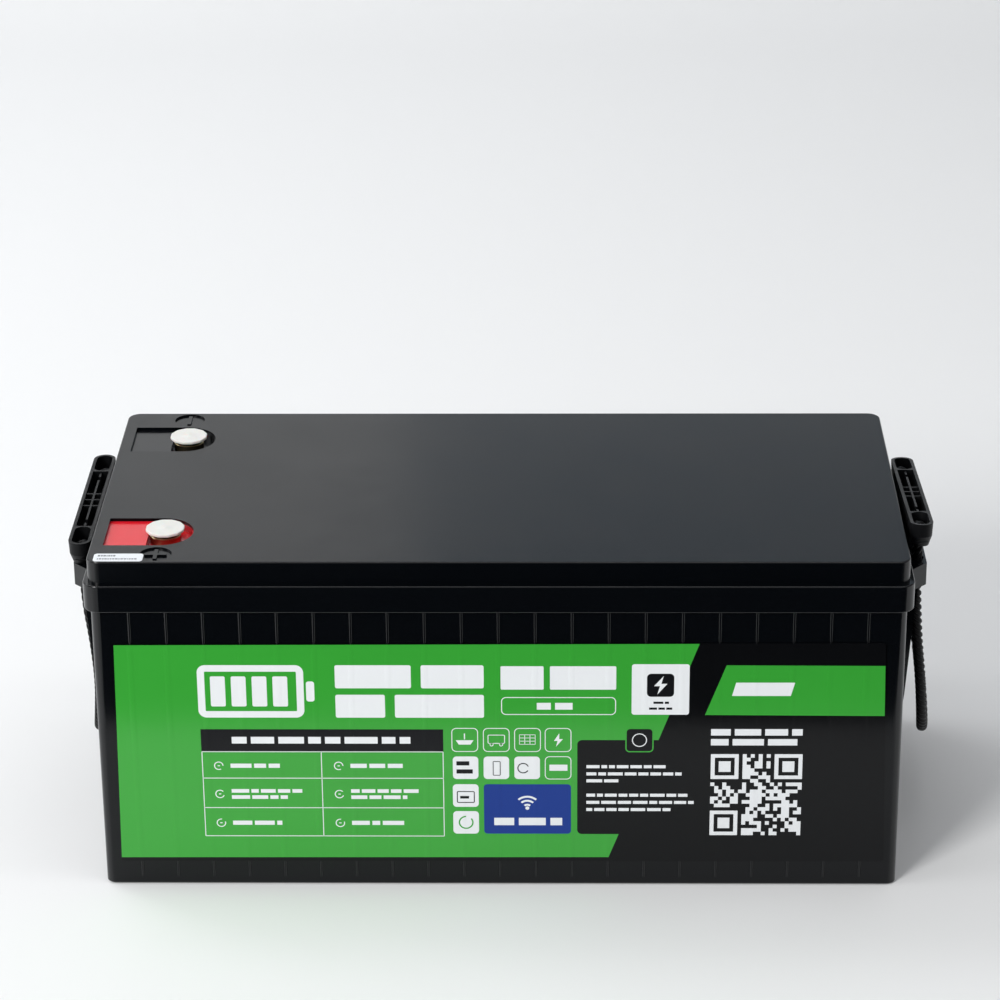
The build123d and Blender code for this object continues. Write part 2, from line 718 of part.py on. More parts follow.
# ---------------------------------------------------------------- all pieces
def main():
    os.makedirs("parts", exist_ok=True)
    save("case", make_case())
    save("lid", make_lid())
    save("lid_gasket", gasket_ring())
    save("front_label", make_label())
    save("serial_sticker", make_sticker())
    nuts, washers = [], []
    for side, name in ((-1, "positive"), (1, "negative")):
        save(f"{name}_terminal_base", make_base(side))
        save(f"{name}_terminal", make_terminal(side))
        save(f"{name}_cap", make_cap(side))
        save(f"{name}_cap_washer", make_cap_washer(side))
        nut, washer, lug_top = terminal_hardware(side)
        nuts += [nut, Pos(0, 0, -nut_height - lug_thickness) * nut]
        washers.append(washer)
    save("terminal_nuts", *nuts)
    save("terminal_washers", *washers)
    make_handle(-1, "left")
    make_handle(1, "right")

    for i in range(cell_count):
        save(f"cell_{i + 1}", make_cell(i))
    save("cell_separators", *make_separators())
    middle_y = (cell_front + cell_back) / 2
    save("end_plates", *stack_ends(end_plate_thickness, 0.0, cell_reach, cell_foot, cell_top, middle_y))
    foam_gap = end_plate_thickness + strap_thickness + 0.3
    foam = cavity_length / 2 - stack_length / 2 - foam_gap - 0.5
    save("end_foam_pads", *stack_ends(foam, foam_gap, cell_reach - 30, cell_foot, cell_top, middle_y - 10))
    save("base_pad", block(cavity_length - 10, cavity_width - 10, base_pad_thickness, 0, 0, case_floor))
    sheet_y = cell_front - side_sheet_thickness / 2
    save("side_sheet", block(stack_length, side_sheet_thickness, cell_height, 0, sheet_y, cell_foot))
    save("straps", *make_straps())
    save("busbars", *make_busbars())
    save("busbar_nuts", *make_busbar_nuts())

    save("board_tray", make_tray())
    save("control_board", make_board())
    save("board_screws", *make_screws())
    save("transistors", *make_transistors())
    save("thermal_pad", on_board(sink_length, sink_width, thermal_pad_thickness, 0, sink_y, transistor_height))
    save("heat_sink", make_heat_sink())
    save("board_connectors", *make_connectors())
    save("wireless_module", make_wireless())

    for name, points in lead_routes().items():
        lead, length = tube(points, lead_radius - 0.05)
        print(name, "length", round(length, 1), "volume share",
              round(lead.volume / (math.pi * (lead_radius - 0.05) ** 2 * length), 4))
        save(name, lead)
    board_lugs = [make_lug(*input_pad, board_top, 0), make_lug(*output_pad, board_top, 90)]
    save("cable_lugs", terminal_lug(-1, 0), terminal_lug(1, -90), stack_lug(0), stack_lug(cell_count - 1),
         *board_lugs)
    save("balance_harness", make_harness())
    save("temperature_sensor", make_sensor())


main()
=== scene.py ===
"""Deep cycle battery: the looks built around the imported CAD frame.

A long black moulded case with a satin lid, two terminal pockets under white thumb caps, a printed label
along the front and a rope handle at each end. The CAD parts keep their shape and only get their finish
here. The ropes, their knots, the label, the sticker and the caps are made again in finer detail as their
own pieces. Sizes are in millimetres until a mesh is written, and colours are sRGB hex.
"""

import logging
import math
from dataclasses import dataclass, field
from enum import Enum
from typing import Iterable, NamedTuple, Sequence

import bpy
import numpy as np
from mathutils import Matrix, Vector

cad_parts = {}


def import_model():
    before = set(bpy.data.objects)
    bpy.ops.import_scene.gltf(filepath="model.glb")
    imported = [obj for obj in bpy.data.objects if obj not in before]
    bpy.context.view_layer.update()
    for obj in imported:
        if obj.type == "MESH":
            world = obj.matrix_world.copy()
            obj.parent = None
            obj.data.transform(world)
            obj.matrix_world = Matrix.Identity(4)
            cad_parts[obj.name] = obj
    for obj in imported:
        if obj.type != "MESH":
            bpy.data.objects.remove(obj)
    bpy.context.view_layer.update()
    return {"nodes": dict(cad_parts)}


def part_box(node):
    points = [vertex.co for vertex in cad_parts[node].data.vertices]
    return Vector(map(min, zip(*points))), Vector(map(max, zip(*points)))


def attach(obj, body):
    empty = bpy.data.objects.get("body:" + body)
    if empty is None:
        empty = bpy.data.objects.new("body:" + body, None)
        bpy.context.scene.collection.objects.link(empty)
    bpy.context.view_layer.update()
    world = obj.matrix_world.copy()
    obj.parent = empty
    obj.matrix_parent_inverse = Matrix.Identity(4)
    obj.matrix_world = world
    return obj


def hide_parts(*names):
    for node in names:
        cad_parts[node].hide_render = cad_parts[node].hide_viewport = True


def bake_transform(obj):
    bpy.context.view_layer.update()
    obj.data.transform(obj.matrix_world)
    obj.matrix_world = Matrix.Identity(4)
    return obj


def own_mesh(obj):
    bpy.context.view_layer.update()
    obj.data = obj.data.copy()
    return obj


log = logging.getLogger("battery")

MM = 0.001
Point = tuple[float, float]
Place = tuple[float, float, float]


class Surface(Enum):
    """How the skin of a finish is broken up."""

    SMOOTH = "smooth"        # a faint waviness only
    MOULDED = "moulded"      # fine spark-eroded grain
    FIBRE = "fibre"          # fibres along a laid strand
    TURNED = "turned"        # rings left by a lathe
    FILM = "film"            # a film lying over the upright beads of the wall


@dataclass(frozen=True)
class Finish:
    """One material: its colour, its gloss and the relief of its skin.

    Relief and grain are real sizes in millimetres. Facing is how much of the gloss is left where the surface
    is seen straight on, and edge is the same for its rounded edges, where the gloss is raised as a painted
    highlight so that they catch bright lines of light.
    Drift is how far the roughness wanders over drift_size, and tint how far the colour darkens over it.
    """

    name: str
    colour: str
    roughness: float
    metallic: float = 0.0
    specular: float = 0.5
    facing: float = 1.0
    edge: float = 0.0
    subsurface: float = 0.0
    surface: Surface = Surface.SMOOTH
    relief: float = 0.0
    grain: float = 1.0
    drift: float = 0.0
    drift_size: float = 60.0
    tint: float = 0.0


def moulded(name: str, colour: str, roughness: float, **rest: float) -> Finish:
    """Describes a moulded plastic.

    Args:
        name: the material's name.
        colour: sRGB hex.
        roughness: roughness of its skin.
        rest: any other values of the finish.

    Returns:
        The finish.
    """
    return Finish(name, colour, roughness, surface=Surface.MOULDED, **rest)


def printed(name: str, colour: str, **rest: float) -> Finish:
    """Describes an ink under the clear front of the label's film.

    Args:
        name: the material's name.
        colour: sRGB hex.
        rest: any values that differ from the usual ones.

    Returns:
        The finish.
    """
    usual = {"roughness": 0.16, "facing": 0.5, "relief": 0.10, "grain": 30.0}
    return Finish(name, colour, surface=Surface.FILM, **(usual | rest))


# edge raises the gloss on the rounded edges of the case and the lid: a painted highlight.
CASE = moulded("case_black", "#06080b", 0.13, facing=0.55, edge=0.9, relief=0.0012, grain=1.6, drift=0.03)
LID = moulded("lid_black", "#040609", 0.22, specular=0.47, facing=0.22, edge=1.0, relief=0.002, grain=0.8,
              drift=0.04)
INSERT_BLACK = moulded("insert_black", "#0b0c0f", 0.2, facing=0.5, relief=0.002, grain=0.8)
INSERT_RED = moulded("insert_red", "#d41826", 0.22, subsurface=0.5, relief=0.002, grain=0.8)
GRIP = moulded("grip_black", "#0a0b0d", 0.44, facing=0.3, relief=0.010, grain=0.7, drift=0.06)
CAP = moulded("cap_white", "#d8d8d4", 0.34, specular=0.45, subsurface=0.2, relief=0.004, grain=1.4,
              drift=0.05, drift_size=9)
ROPE = Finish("rope_black", "#050506", 0.4, facing=0.3, surface=Surface.FIBRE, relief=0.08, grain=0.45)
BRASS = Finish("terminal_brass", "#a39575", 0.27, metallic=1.0, surface=Surface.TURNED, relief=0.01,
               grain=0.25)
STEEL = Finish("zinc_steel", "#b9bbbd", 0.32, metallic=1.0, relief=0.004, grain=0.5)
RUBBER = Finish("gasket_rubber", "#1a1a1b", 0.7, specular=0.3)
FOAM = Finish("foam_grey", "#2b2c2e", 0.9, specular=0.2, relief=0.1, grain=0.6)
ALUMINIUM = Finish("mill_aluminium", "#b7b9bc", 0.34, metallic=1.0, relief=0.003, grain=0.4, drift=0.06)
CELL_BLUE = Finish("cell_blue_film", "#1f4f94", 0.30, specular=0.5, relief=0.02, grain=9.0)
SHEET = Finish("glass_epoxy", "#b5a566", 0.5, specular=0.4, relief=0.01, grain=0.8)
TRAY = Finish("tray_black", "#17181a", 0.5, specular=0.4)
BOARD = Finish("board_green", "#0e5a2b", 0.3, specular=0.5, relief=0.01, grain=1.2)
PART_BLACK = Finish("component_black", "#141415", 0.5, specular=0.4)
NYLON = Finish("connector_nylon", "#dcd7c6", 0.45, specular=0.4)
WIRE_RED = Finish("wire_red", "#a5141b", 0.42, specular=0.4)
WIRE_BLACK = Finish("wire_black", "#151516", 0.42, specular=0.4)
TINNED = Finish("tinned_lug", "#c3c4c6", 0.28, metallic=1.0)
FILM_BLACK = printed("film_black", "#0a0b0d", roughness=0.12, facing=0.42, drift=0.03)
INK_GREEN = printed("ink_green", "#329a31", facing=1.0, tint=0.08)
INK_WHITE = printed("ink_white", "#dcdfe2")
INK_BLUE = printed("ink_blue", "#1b3783", facing=0.35)
INK_DARK = printed("ink_dark", "#131417", facing=0.35)
PAPER = Finish("sticker_paper", "#dfe3e8", 0.35, specular=0.4)
PAPER_INK = Finish("sticker_ink", "#6f727a", 0.45, specular=0.3)
FLOOR = Finish("floor_pale", "#e8e9ea", 0.75, specular=0.12)
CARD = Finish("card_black", "#010101", 1.0, specular=0.0)
CARD_GREY = Finish("card_grey", "#a1abb5", 1.0, specular=0.0)

CAD_FINISHES: dict[str, Finish] = {
    "case": CASE, "lid": LID, "lid_gasket": RUBBER, "front_label": FILM_BLACK, "serial_sticker": PAPER,
    "positive_terminal_base": INSERT_RED, "negative_terminal_base": INSERT_BLACK,
    "positive_terminal": BRASS, "negative_terminal": BRASS, "positive_cap": CAP, "negative_cap": CAP,
    "positive_cap_washer": RUBBER, "negative_cap_washer": RUBBER,
    "terminal_nuts": STEEL, "terminal_washers": STEEL,
    "handle_grip_left": GRIP, "handle_grip_right": GRIP, "handle_rope_left": ROPE, "handle_rope_right": ROPE,
    "rope_knots_left": ROPE, "rope_knots_right": ROPE, "cell_separators": SHEET, "end_plates": ALUMINIUM,
    "end_foam_pads": FOAM, "base_pad": FOAM, "side_sheet": SHEET, "straps": STEEL, "busbars": ALUMINIUM,
    "busbar_nuts": STEEL, "board_tray": TRAY, "control_board": BOARD, "board_screws": STEEL,
    "transistors": PART_BLACK, "thermal_pad": FOAM, "heat_sink": ALUMINIUM, "board_connectors": NYLON,
    "wireless_module": STEEL, "positive_lead": WIRE_RED, "stack_negative_lead": WIRE_BLACK,
    "output_negative_lead": WIRE_BLACK, "cable_lugs": TINNED, "balance_harness": WIRE_BLACK,
    "temperature_sensor": PART_BLACK,
} | {f"cell_{number}": CELL_BLUE for number in range(1, 9)}


def linear(colour: str) -> tuple[float, float, float, float]:
    """Turns an sRGB hex colour into linear light.

    Args:
        colour: six hex digits after a hash.

    Returns:
        Red, green and blue in linear light, and full opacity.
    """
    parts = [int(colour[i:i + 2], 16) / 255 for i in (1, 3, 5)]
    red, green, blue = (c / 12.92 if c <= 0.04045 else ((c + 0.055) / 1.055) ** 2.4 for c in parts)
    return red, green, blue, 1.0


class MaterialMaker:
    """Builds each finish once and hands out its material."""

    FIBRE_STRETCH = (0.35, 5.0, 1.0)     # how much finer the fibres are across the strand than along it
    FLAT, ROUNDED = 0.995, 0.93          # largest part of the normal on a flat face and on a rounded edge
    BLEED = 2.0                          # how far light goes into a translucent skin, in millimetres

    def __init__(self) -> None:
        self._made: dict[str, bpy.types.Material] = {}

    @staticmethod
    def add(tree: bpy.types.NodeTree, kind: str, settings: dict | None = None, **links) -> bpy.types.Node:
        """Adds one node, sets its properties and fills its inputs.

        Args:
            tree: the material's node tree.
            kind: the node's type without its prefix.
            settings: the node's own properties, or inputs by number for nodes whose inputs share a name.
            links: input name, with underscores for spaces, to a value or to another node's output.

        Returns:
            The new node.
        """
        node = tree.nodes.new("ShaderNode" + kind)
        for name, value in (settings or {}).items():
            if isinstance(name, int):
                if isinstance(value, bpy.types.NodeSocket):
                    tree.links.new(value, node.inputs[name])
                else:
                    node.inputs[name].default_value = value
            else:
                setattr(node, name, value)
        for name, value in links.items():
            socket = node.inputs[name.replace("_", " ")]
            if isinstance(value, bpy.types.NodeSocket):
                tree.links.new(value, socket)
            else:
                socket.default_value = value
        return node

    def _height(self, tree: bpy.types.NodeTree, finish: Finish, place) -> tuple[bpy.types.NodeSocket, float]:
        """Makes the height signal of a finish's skin.

        Args:
            tree: the material's node tree.
            finish: the finish.
            place: position on the object in millimetres.

        Returns:
            A height from 0 to 1 and the relief in millimetres that it stands for.
        """
        if finish.surface is Surface.FIBRE:
            uv = self.add(tree, "UVMap")
            along = self.add(tree, "Mapping", {"vector_type": "POINT"}, Vector=uv.outputs["UV"],
                             Scale=self.FIBRE_STRETCH)
            noise = self.add(tree, "TexNoise", Vector=along.outputs["Vector"], Scale=1 / finish.grain,
                             Detail=3.0, Roughness=0.65)
            return noise.outputs["Fac"], finish.relief
        if finish.surface is Surface.TURNED:
            rings = self.add(tree, "TexNoise", {"noise_dimensions": "1D"}, Scale=1 / finish.grain, Detail=2.0,
                             W=self.add(tree, "SeparateXYZ", Vector=place).outputs["Z"])
            return rings.outputs["Fac"], finish.relief
        noise = self.add(tree, "TexNoise", Vector=place, Scale=1 / finish.grain, Detail=2.0, Roughness=0.55)
        if finish.surface is Surface.FILM:
            across = self.add(tree, "SeparateXYZ", Vector=place).outputs["X"]
            shifted = self.add(tree, "Math", {"operation": "ADD", 0: across, 1: FrontLabel.BEAD_START})
            nearest = self.add(tree, "Math", {"operation": "PINGPONG", 0: shifted.outputs[0],
                                              1: FrontLabel.BEAD_PITCH / 2})
            bead = self.add(tree, "MapRange", {"interpolation_type": "SMOOTHERSTEP"},
                            Value=nearest.outputs[0], From_Min=FrontLabel.BEAD_CREST,
                            From_Max=FrontLabel.BEAD_REACH, To_Min=1.0, To_Max=0.0)
            both = self.add(tree, "Math", {"operation": "MULTIPLY_ADD", 0: noise.outputs["Fac"],
                                           1: FrontLabel.FILM_WAVE, 2: bead.outputs[0]})
            return both.outputs[0], finish.relief
        return noise.outputs["Fac"], finish.relief

    def make(self, finish: Finish) -> bpy.types.Material:
        """Gives the material of a finish, building it the first time.

        Args:
            finish: the finish.

        Returns:
            Its material.
        """
        if finish.name in self._made:
            return self._made[finish.name]
        material = bpy.data.materials.new(finish.name)
        material.use_nodes = True
        tree = material.node_tree
        shader = tree.nodes["Principled BSDF"]
        tone = linear(finish.colour)
        fixed = {"Base Color": tone, "Roughness": finish.roughness, "Metallic": finish.metallic,
                 "Specular IOR Level": finish.specular,
                 "Subsurface Weight": finish.subsurface, "Subsurface Scale": self.BLEED * MM,
                 "Specular Tint": (finish.facing, finish.facing, finish.facing, 1.0)}
        for name, value in fixed.items():
            shader.inputs[name].default_value = value
        if finish.relief or finish.drift or finish.tint:
            spot = self.add(tree, "TexCoord").outputs["Object"]
            scaled = self.add(tree, "VectorMath", {"operation": "SCALE"}, Vector=spot, Scale=1 / MM)
            place = scaled.outputs["Vector"]
            wander = self.add(tree, "TexNoise", Vector=place, Scale=1 / finish.drift_size,
                              Detail=3.0, Roughness=0.6)
            slow = wander.outputs["Fac"]
            if finish.relief:
                height, depth = self._height(tree, finish, place)
                bump = self.add(tree, "Bump", Height=height, Distance=depth * MM, Strength=1.0)
                tree.links.new(bump.outputs["Normal"], shader.inputs["Normal"])
            # Painted highlight: rounded edges, told apart from flat faces by their normal, get more gloss so
            # that they show bright lines.
            if finish.edge:
                turn = self.add(tree, "TexCoord").outputs["Normal"]
                size = self.add(tree, "VectorMath", {"operation": "ABSOLUTE"}, Vector=turn).outputs["Vector"]
                parts = self.add(tree, "SeparateXYZ", Vector=size).outputs
                wide = self.add(tree, "Math", {"operation": "MAXIMUM", 0: parts["X"], 1: parts["Y"]})
                flat = self.add(tree, "Math", {"operation": "MAXIMUM", 0: wide.outputs[0], 1: parts["Z"]})
                edge_highlight_gloss = self.add(tree, "MapRange", Value=flat.outputs[0], From_Min=self.FLAT,
                                 From_Max=self.ROUNDED, To_Min=finish.facing, To_Max=finish.edge)
                tree.links.new(edge_highlight_gloss.outputs[0], shader.inputs["Specular Tint"])
            if finish.drift:
                gloss = self.add(tree, "MapRange", Value=slow, From_Min=0.3, From_Max=0.7,
                                 To_Min=finish.roughness - finish.drift,
                                 To_Max=finish.roughness + finish.drift)
                tree.links.new(gloss.outputs[0], shader.inputs["Roughness"])
            if finish.tint:
                shade = self.add(tree, "MixRGB", {"blend_type": "MULTIPLY"}, Fac=slow, Color1=tone,
                                 Color2=(1 - finish.tint, 1 - finish.tint, 1 - finish.tint, 1.0))
                tree.links.new(shade.outputs["Color"], shader.inputs["Base Color"])
        self._made[finish.name] = material
        return material


@dataclass
class Draft:
    """A piece being drawn: corners in millimetres, faces as corner numbers, and a u, v for each corner."""

    points: list[np.ndarray] = field(default_factory=list)
    faces: list[tuple[int, ...]] = field(default_factory=list)
    uvs: list[np.ndarray] = field(default_factory=list)
    count: int = 0

    def add(self, points: np.ndarray, faces: Iterable[Sequence[int]], uv: np.ndarray | None = None) -> None:
        """Adds corners and the faces between them.

        Args:
            points: one row of x, y, z for each corner.
            faces: corner numbers within these points.
            uv: one row of u, v for each corner; left out, x and z are used.
        """
        self.faces += [tuple(int(i) + self.count for i in face) for face in faces]
        self.points.append(points)
        self.uvs.append(points[:, (0, 2)] if uv is None else uv)
        self.count += len(points)

    def grid(self, rows: np.ndarray, uv: np.ndarray | None = None, closed: bool = True,
             ends: bool = False) -> None:
        """Adds a surface given as rings of points.

        Args:
            rows: rings by points by x, y, z.
            uv: rings by points by u, v.
            closed: each ring joins up with itself.
            ends: the first and last rings are filled.
        """
        rings, around = rows.shape[:2]
        index = np.arange(rings * around).reshape(rings, around)
        right = np.roll(index, -1, axis=1) if closed else index[:, 1:]
        left = index if closed else index[:, :-1]
        quads = np.stack([left[:-1], right[:-1], right[1:], left[1:]], axis=-1).reshape(-1, 4).tolist()
        caps = [index[0][::-1].tolist(), index[-1].tolist()] if ends else []
        self.add(rows.reshape(-1, 3), quads + caps, None if uv is None else uv.reshape(-1, 2))

    def build(self, name: str, material: bpy.types.Material, smooth: bool = True) -> bpy.types.Object:
        """Writes the mesh, with its place in its corners, and puts it in the scene.

        Args:
            name: the object's name.
            material: its material.
            smooth: whether its faces are shaded smooth.

        Returns:
            The new object.
        """
        mesh = bpy.data.meshes.new(name)
        mesh.from_pydata((np.concatenate(self.points) * MM).tolist(), [], self.faces)
        flat = np.concatenate(self.uvs)
        layer = mesh.uv_layers.new(name="UVMap")
        corners = np.empty(len(mesh.loops), dtype=np.int32)
        mesh.loops.foreach_get("vertex_index", corners)
        layer.data.foreach_set("uv", flat[corners].astype(np.float32).ravel())
        mesh.polygons.foreach_set("use_smooth", [smooth] * len(mesh.polygons))
        mesh.materials.append(material)
        mesh.validate()
        mesh.update()
        thing = bpy.data.objects.new(name, mesh)
        bpy.context.scene.collection.objects.link(thing)
        return thing


def rounded_box(left: float, foot: float, right: float, top: float, radius: float,
                steps: int = 8) -> list[Point]:
    """Draws a rectangle with quarter-circle corners.

    Args:
        left: lower x.
        foot: lower z.
        right: upper x.
        top: upper z.
        radius: corner radius.
        steps: points on each corner, less one.

    Returns:
        Its outline, counter-clockwise.
    """
    centres = ((right - radius, foot + radius, -90), (right - radius, top - radius, 0),
               (left + radius, top - radius, 90), (left + radius, foot + radius, 180))
    outline: list[Point] = []
    for x, z, start in centres:
        for turn in np.radians(np.linspace(0, 90, steps + 1)) + math.radians(start):
            outline.append((x + radius * math.cos(turn), z + radius * math.sin(turn)))
    return outline


def softened(corners: Sequence[Point], radius: float, steps: int = 6) -> list[Point]:
    """Rounds each corner of a straight-sided outline with a curve that starts and ends `radius` from it.

    Args:
        corners: the outline's corners in order.
        radius: distance from a corner at which its curve starts.
        steps: points on each curve, less one.

    Returns:
        The rounded outline.
    """
    outline: list[Point] = []
    spots = [np.array(c, dtype=float) for c in corners]
    for before, here, after in zip(spots[-1:] + spots[:-1], spots, spots[1:] + spots[:1]):
        start = here + (before - here) * min(radius / np.linalg.norm(before - here), 0.5)
        end = here + (after - here) * min(radius / np.linalg.norm(after - here), 0.5)
        for t in np.linspace(0, 1, steps + 1):
            x, z = (1 - t) ** 2 * start + 2 * t * (1 - t) * here + t ** 2 * end
            outline.append((float(x), float(z)))
    return outline


class Layer(Enum):
    """Depth of each print layer in front of the film."""

    FILM = 0.0
    FIRST = 0.03
    SECOND = 0.06
    THIRD = 0.09
    FOURTH = 0.12


class Ink:
    """Flat shapes of one ink on an upright sheet that faces the front."""

    WORD = (1.6, 4.6)     # shortest and longest word bar, as a share of its height
    SPACE = 0.55          # gap between two word bars, the same way

    def __init__(self, face_y: float) -> None:
        """
        Args:
            face_y: y of the sheet's outer face.
        """
        self._face_y = face_y
        self._draft = Draft()

    def shape(self, outline: Sequence[Point], layer: Layer) -> None:
        """Adds a filled outline.

        Args:
            outline: x and z of its corners.
            layer: how far forward it lies.
        """
        spots = np.array([(x, self._face_y - layer.value, z) for x, z in outline])
        area = sum(a[0] * b[1] - b[0] * a[1] for a, b in zip(outline, list(outline[1:]) + [outline[0]]))
        order = list(range(len(spots)))
        self._draft.add(spots, [order if area > 0 else order[::-1]])

    def box(self, left: float, foot: float, right: float, top: float, layer: Layer,
            radius: float = 0.0) -> None:
        """Adds a filled box.

        Args:
            left: lower x.
            foot: lower z.
            right: upper x.
            top: upper z.
            layer: how far forward it lies.
            radius: corner radius.
        """
        square = [(left, foot), (right, foot), (right, top), (left, top)]
        self.shape(rounded_box(left, foot, right, top, radius) if radius else square, layer)

    def frame(self, left: float, foot: float, right: float, top: float, line: float, layer: Layer,
              radius: float = 0.5) -> None:
        """Adds an outline of even width.

        Args:
            left: lower x of its outside.
            foot: lower z of its outside.
            right: upper x of its outside.
            top: upper z of its outside.
            line: width of the line.
            layer: how far forward it lies.
            radius: corner radius of its outside.
        """
        inner = rounded_box(left + line, foot + line, right - line, top - line, max(radius - line, 0.1))
        self.ribbon(rounded_box(left, foot, right, top, radius), inner, layer)

    def ribbon(self, outer: Sequence[Point], inner: Sequence[Point], layer: Layer,
               closed: bool = True) -> None:
        """Fills the space between two outlines with the same number of corners.

        Args:
            outer: the first outline.
            inner: the second.
            layer: how far forward it lies.
            closed: the outlines join up with themselves.
        """
        rows = np.array([[(x, self._face_y - layer.value, z) for x, z in line] for line in (inner, outer)])
        self._draft.grid(rows[::-1], closed=closed)

    def skirt(self, outline: Sequence[Point], layer: Layer, depth: float) -> None:
        """Adds the cut edge of a sheet behind its outline.

        Args:
            outline: the sheet's outline, counter-clockwise.
            layer: the layer of its outer face.
            depth: its thickness.
        """
        near = self._face_y - layer.value
        rows = np.array([[(x, y, z) for x, z in outline] for y in (near + depth, near)])
        self._draft.grid(rows)

    def arc(self, x: float, z: float, radius: float, line: float, start: float, end: float,
            layer: Layer) -> None:
        """Adds part of a ring.

        Args:
            x: its centre.
            z: its centre.
            radius: outer radius.
            line: width of the line.
            start: first angle in degrees from +X.
            end: last angle.
            layer: how far forward it lies.
        """
        turns = np.radians(np.linspace(start, end, max(6, int(abs(end - start) / 9))))
        outer, inner = ([(x + r * math.cos(t), z + r * math.sin(t)) for t in turns]
                        for r in (radius, radius - line))
        self.ribbon(outer, inner, layer, closed=False)

    def words(self, left: float, foot: float, right: float, height: float, layer: Layer, seed: int,
              lean: float = 0.0) -> None:
        """Adds one line of greeked text: bars as long as words, with gaps between them.

        Args:
            left: lower x.
            foot: lower z.
            right: upper x that no bar passes.
            height: height of the bars.
            layer: how far forward they lie.
            seed: picks the bars' lengths.
            lean: how far the top of a bar leans to the right.
        """
        chance = np.random.default_rng(seed)
        x = left
        while x < right - height:
            end = min(x + height * chance.uniform(*self.WORD), right)
            top = foot + height
            self.shape([(x, foot), (end, foot), (end + lean, top), (x + lean, top)], layer)
            x = end + height * self.SPACE

    def build(self, name: str, material: bpy.types.Material) -> bpy.types.Object:
        """Writes the ink's mesh.

        Args:
            name: the object's name.
            material: its material.

        Returns:
            The new object.
        """
        return self._draft.build(name, material, smooth=False)


class Area(NamedTuple):
    """An upright box on the front wall: lower x, lower z, upper x and upper z."""

    left: float
    foot: float
    right: float
    top: float

    def moved(self, across: float, up: float = 0.0) -> "Area":
        """Gives the same box at another place.

        Args:
            across: how far it goes to the right.
            up: how far it goes up.

        Returns:
            The moved box.
        """
        return Area(self.left + across, self.foot + up, self.right + across, self.top + up)


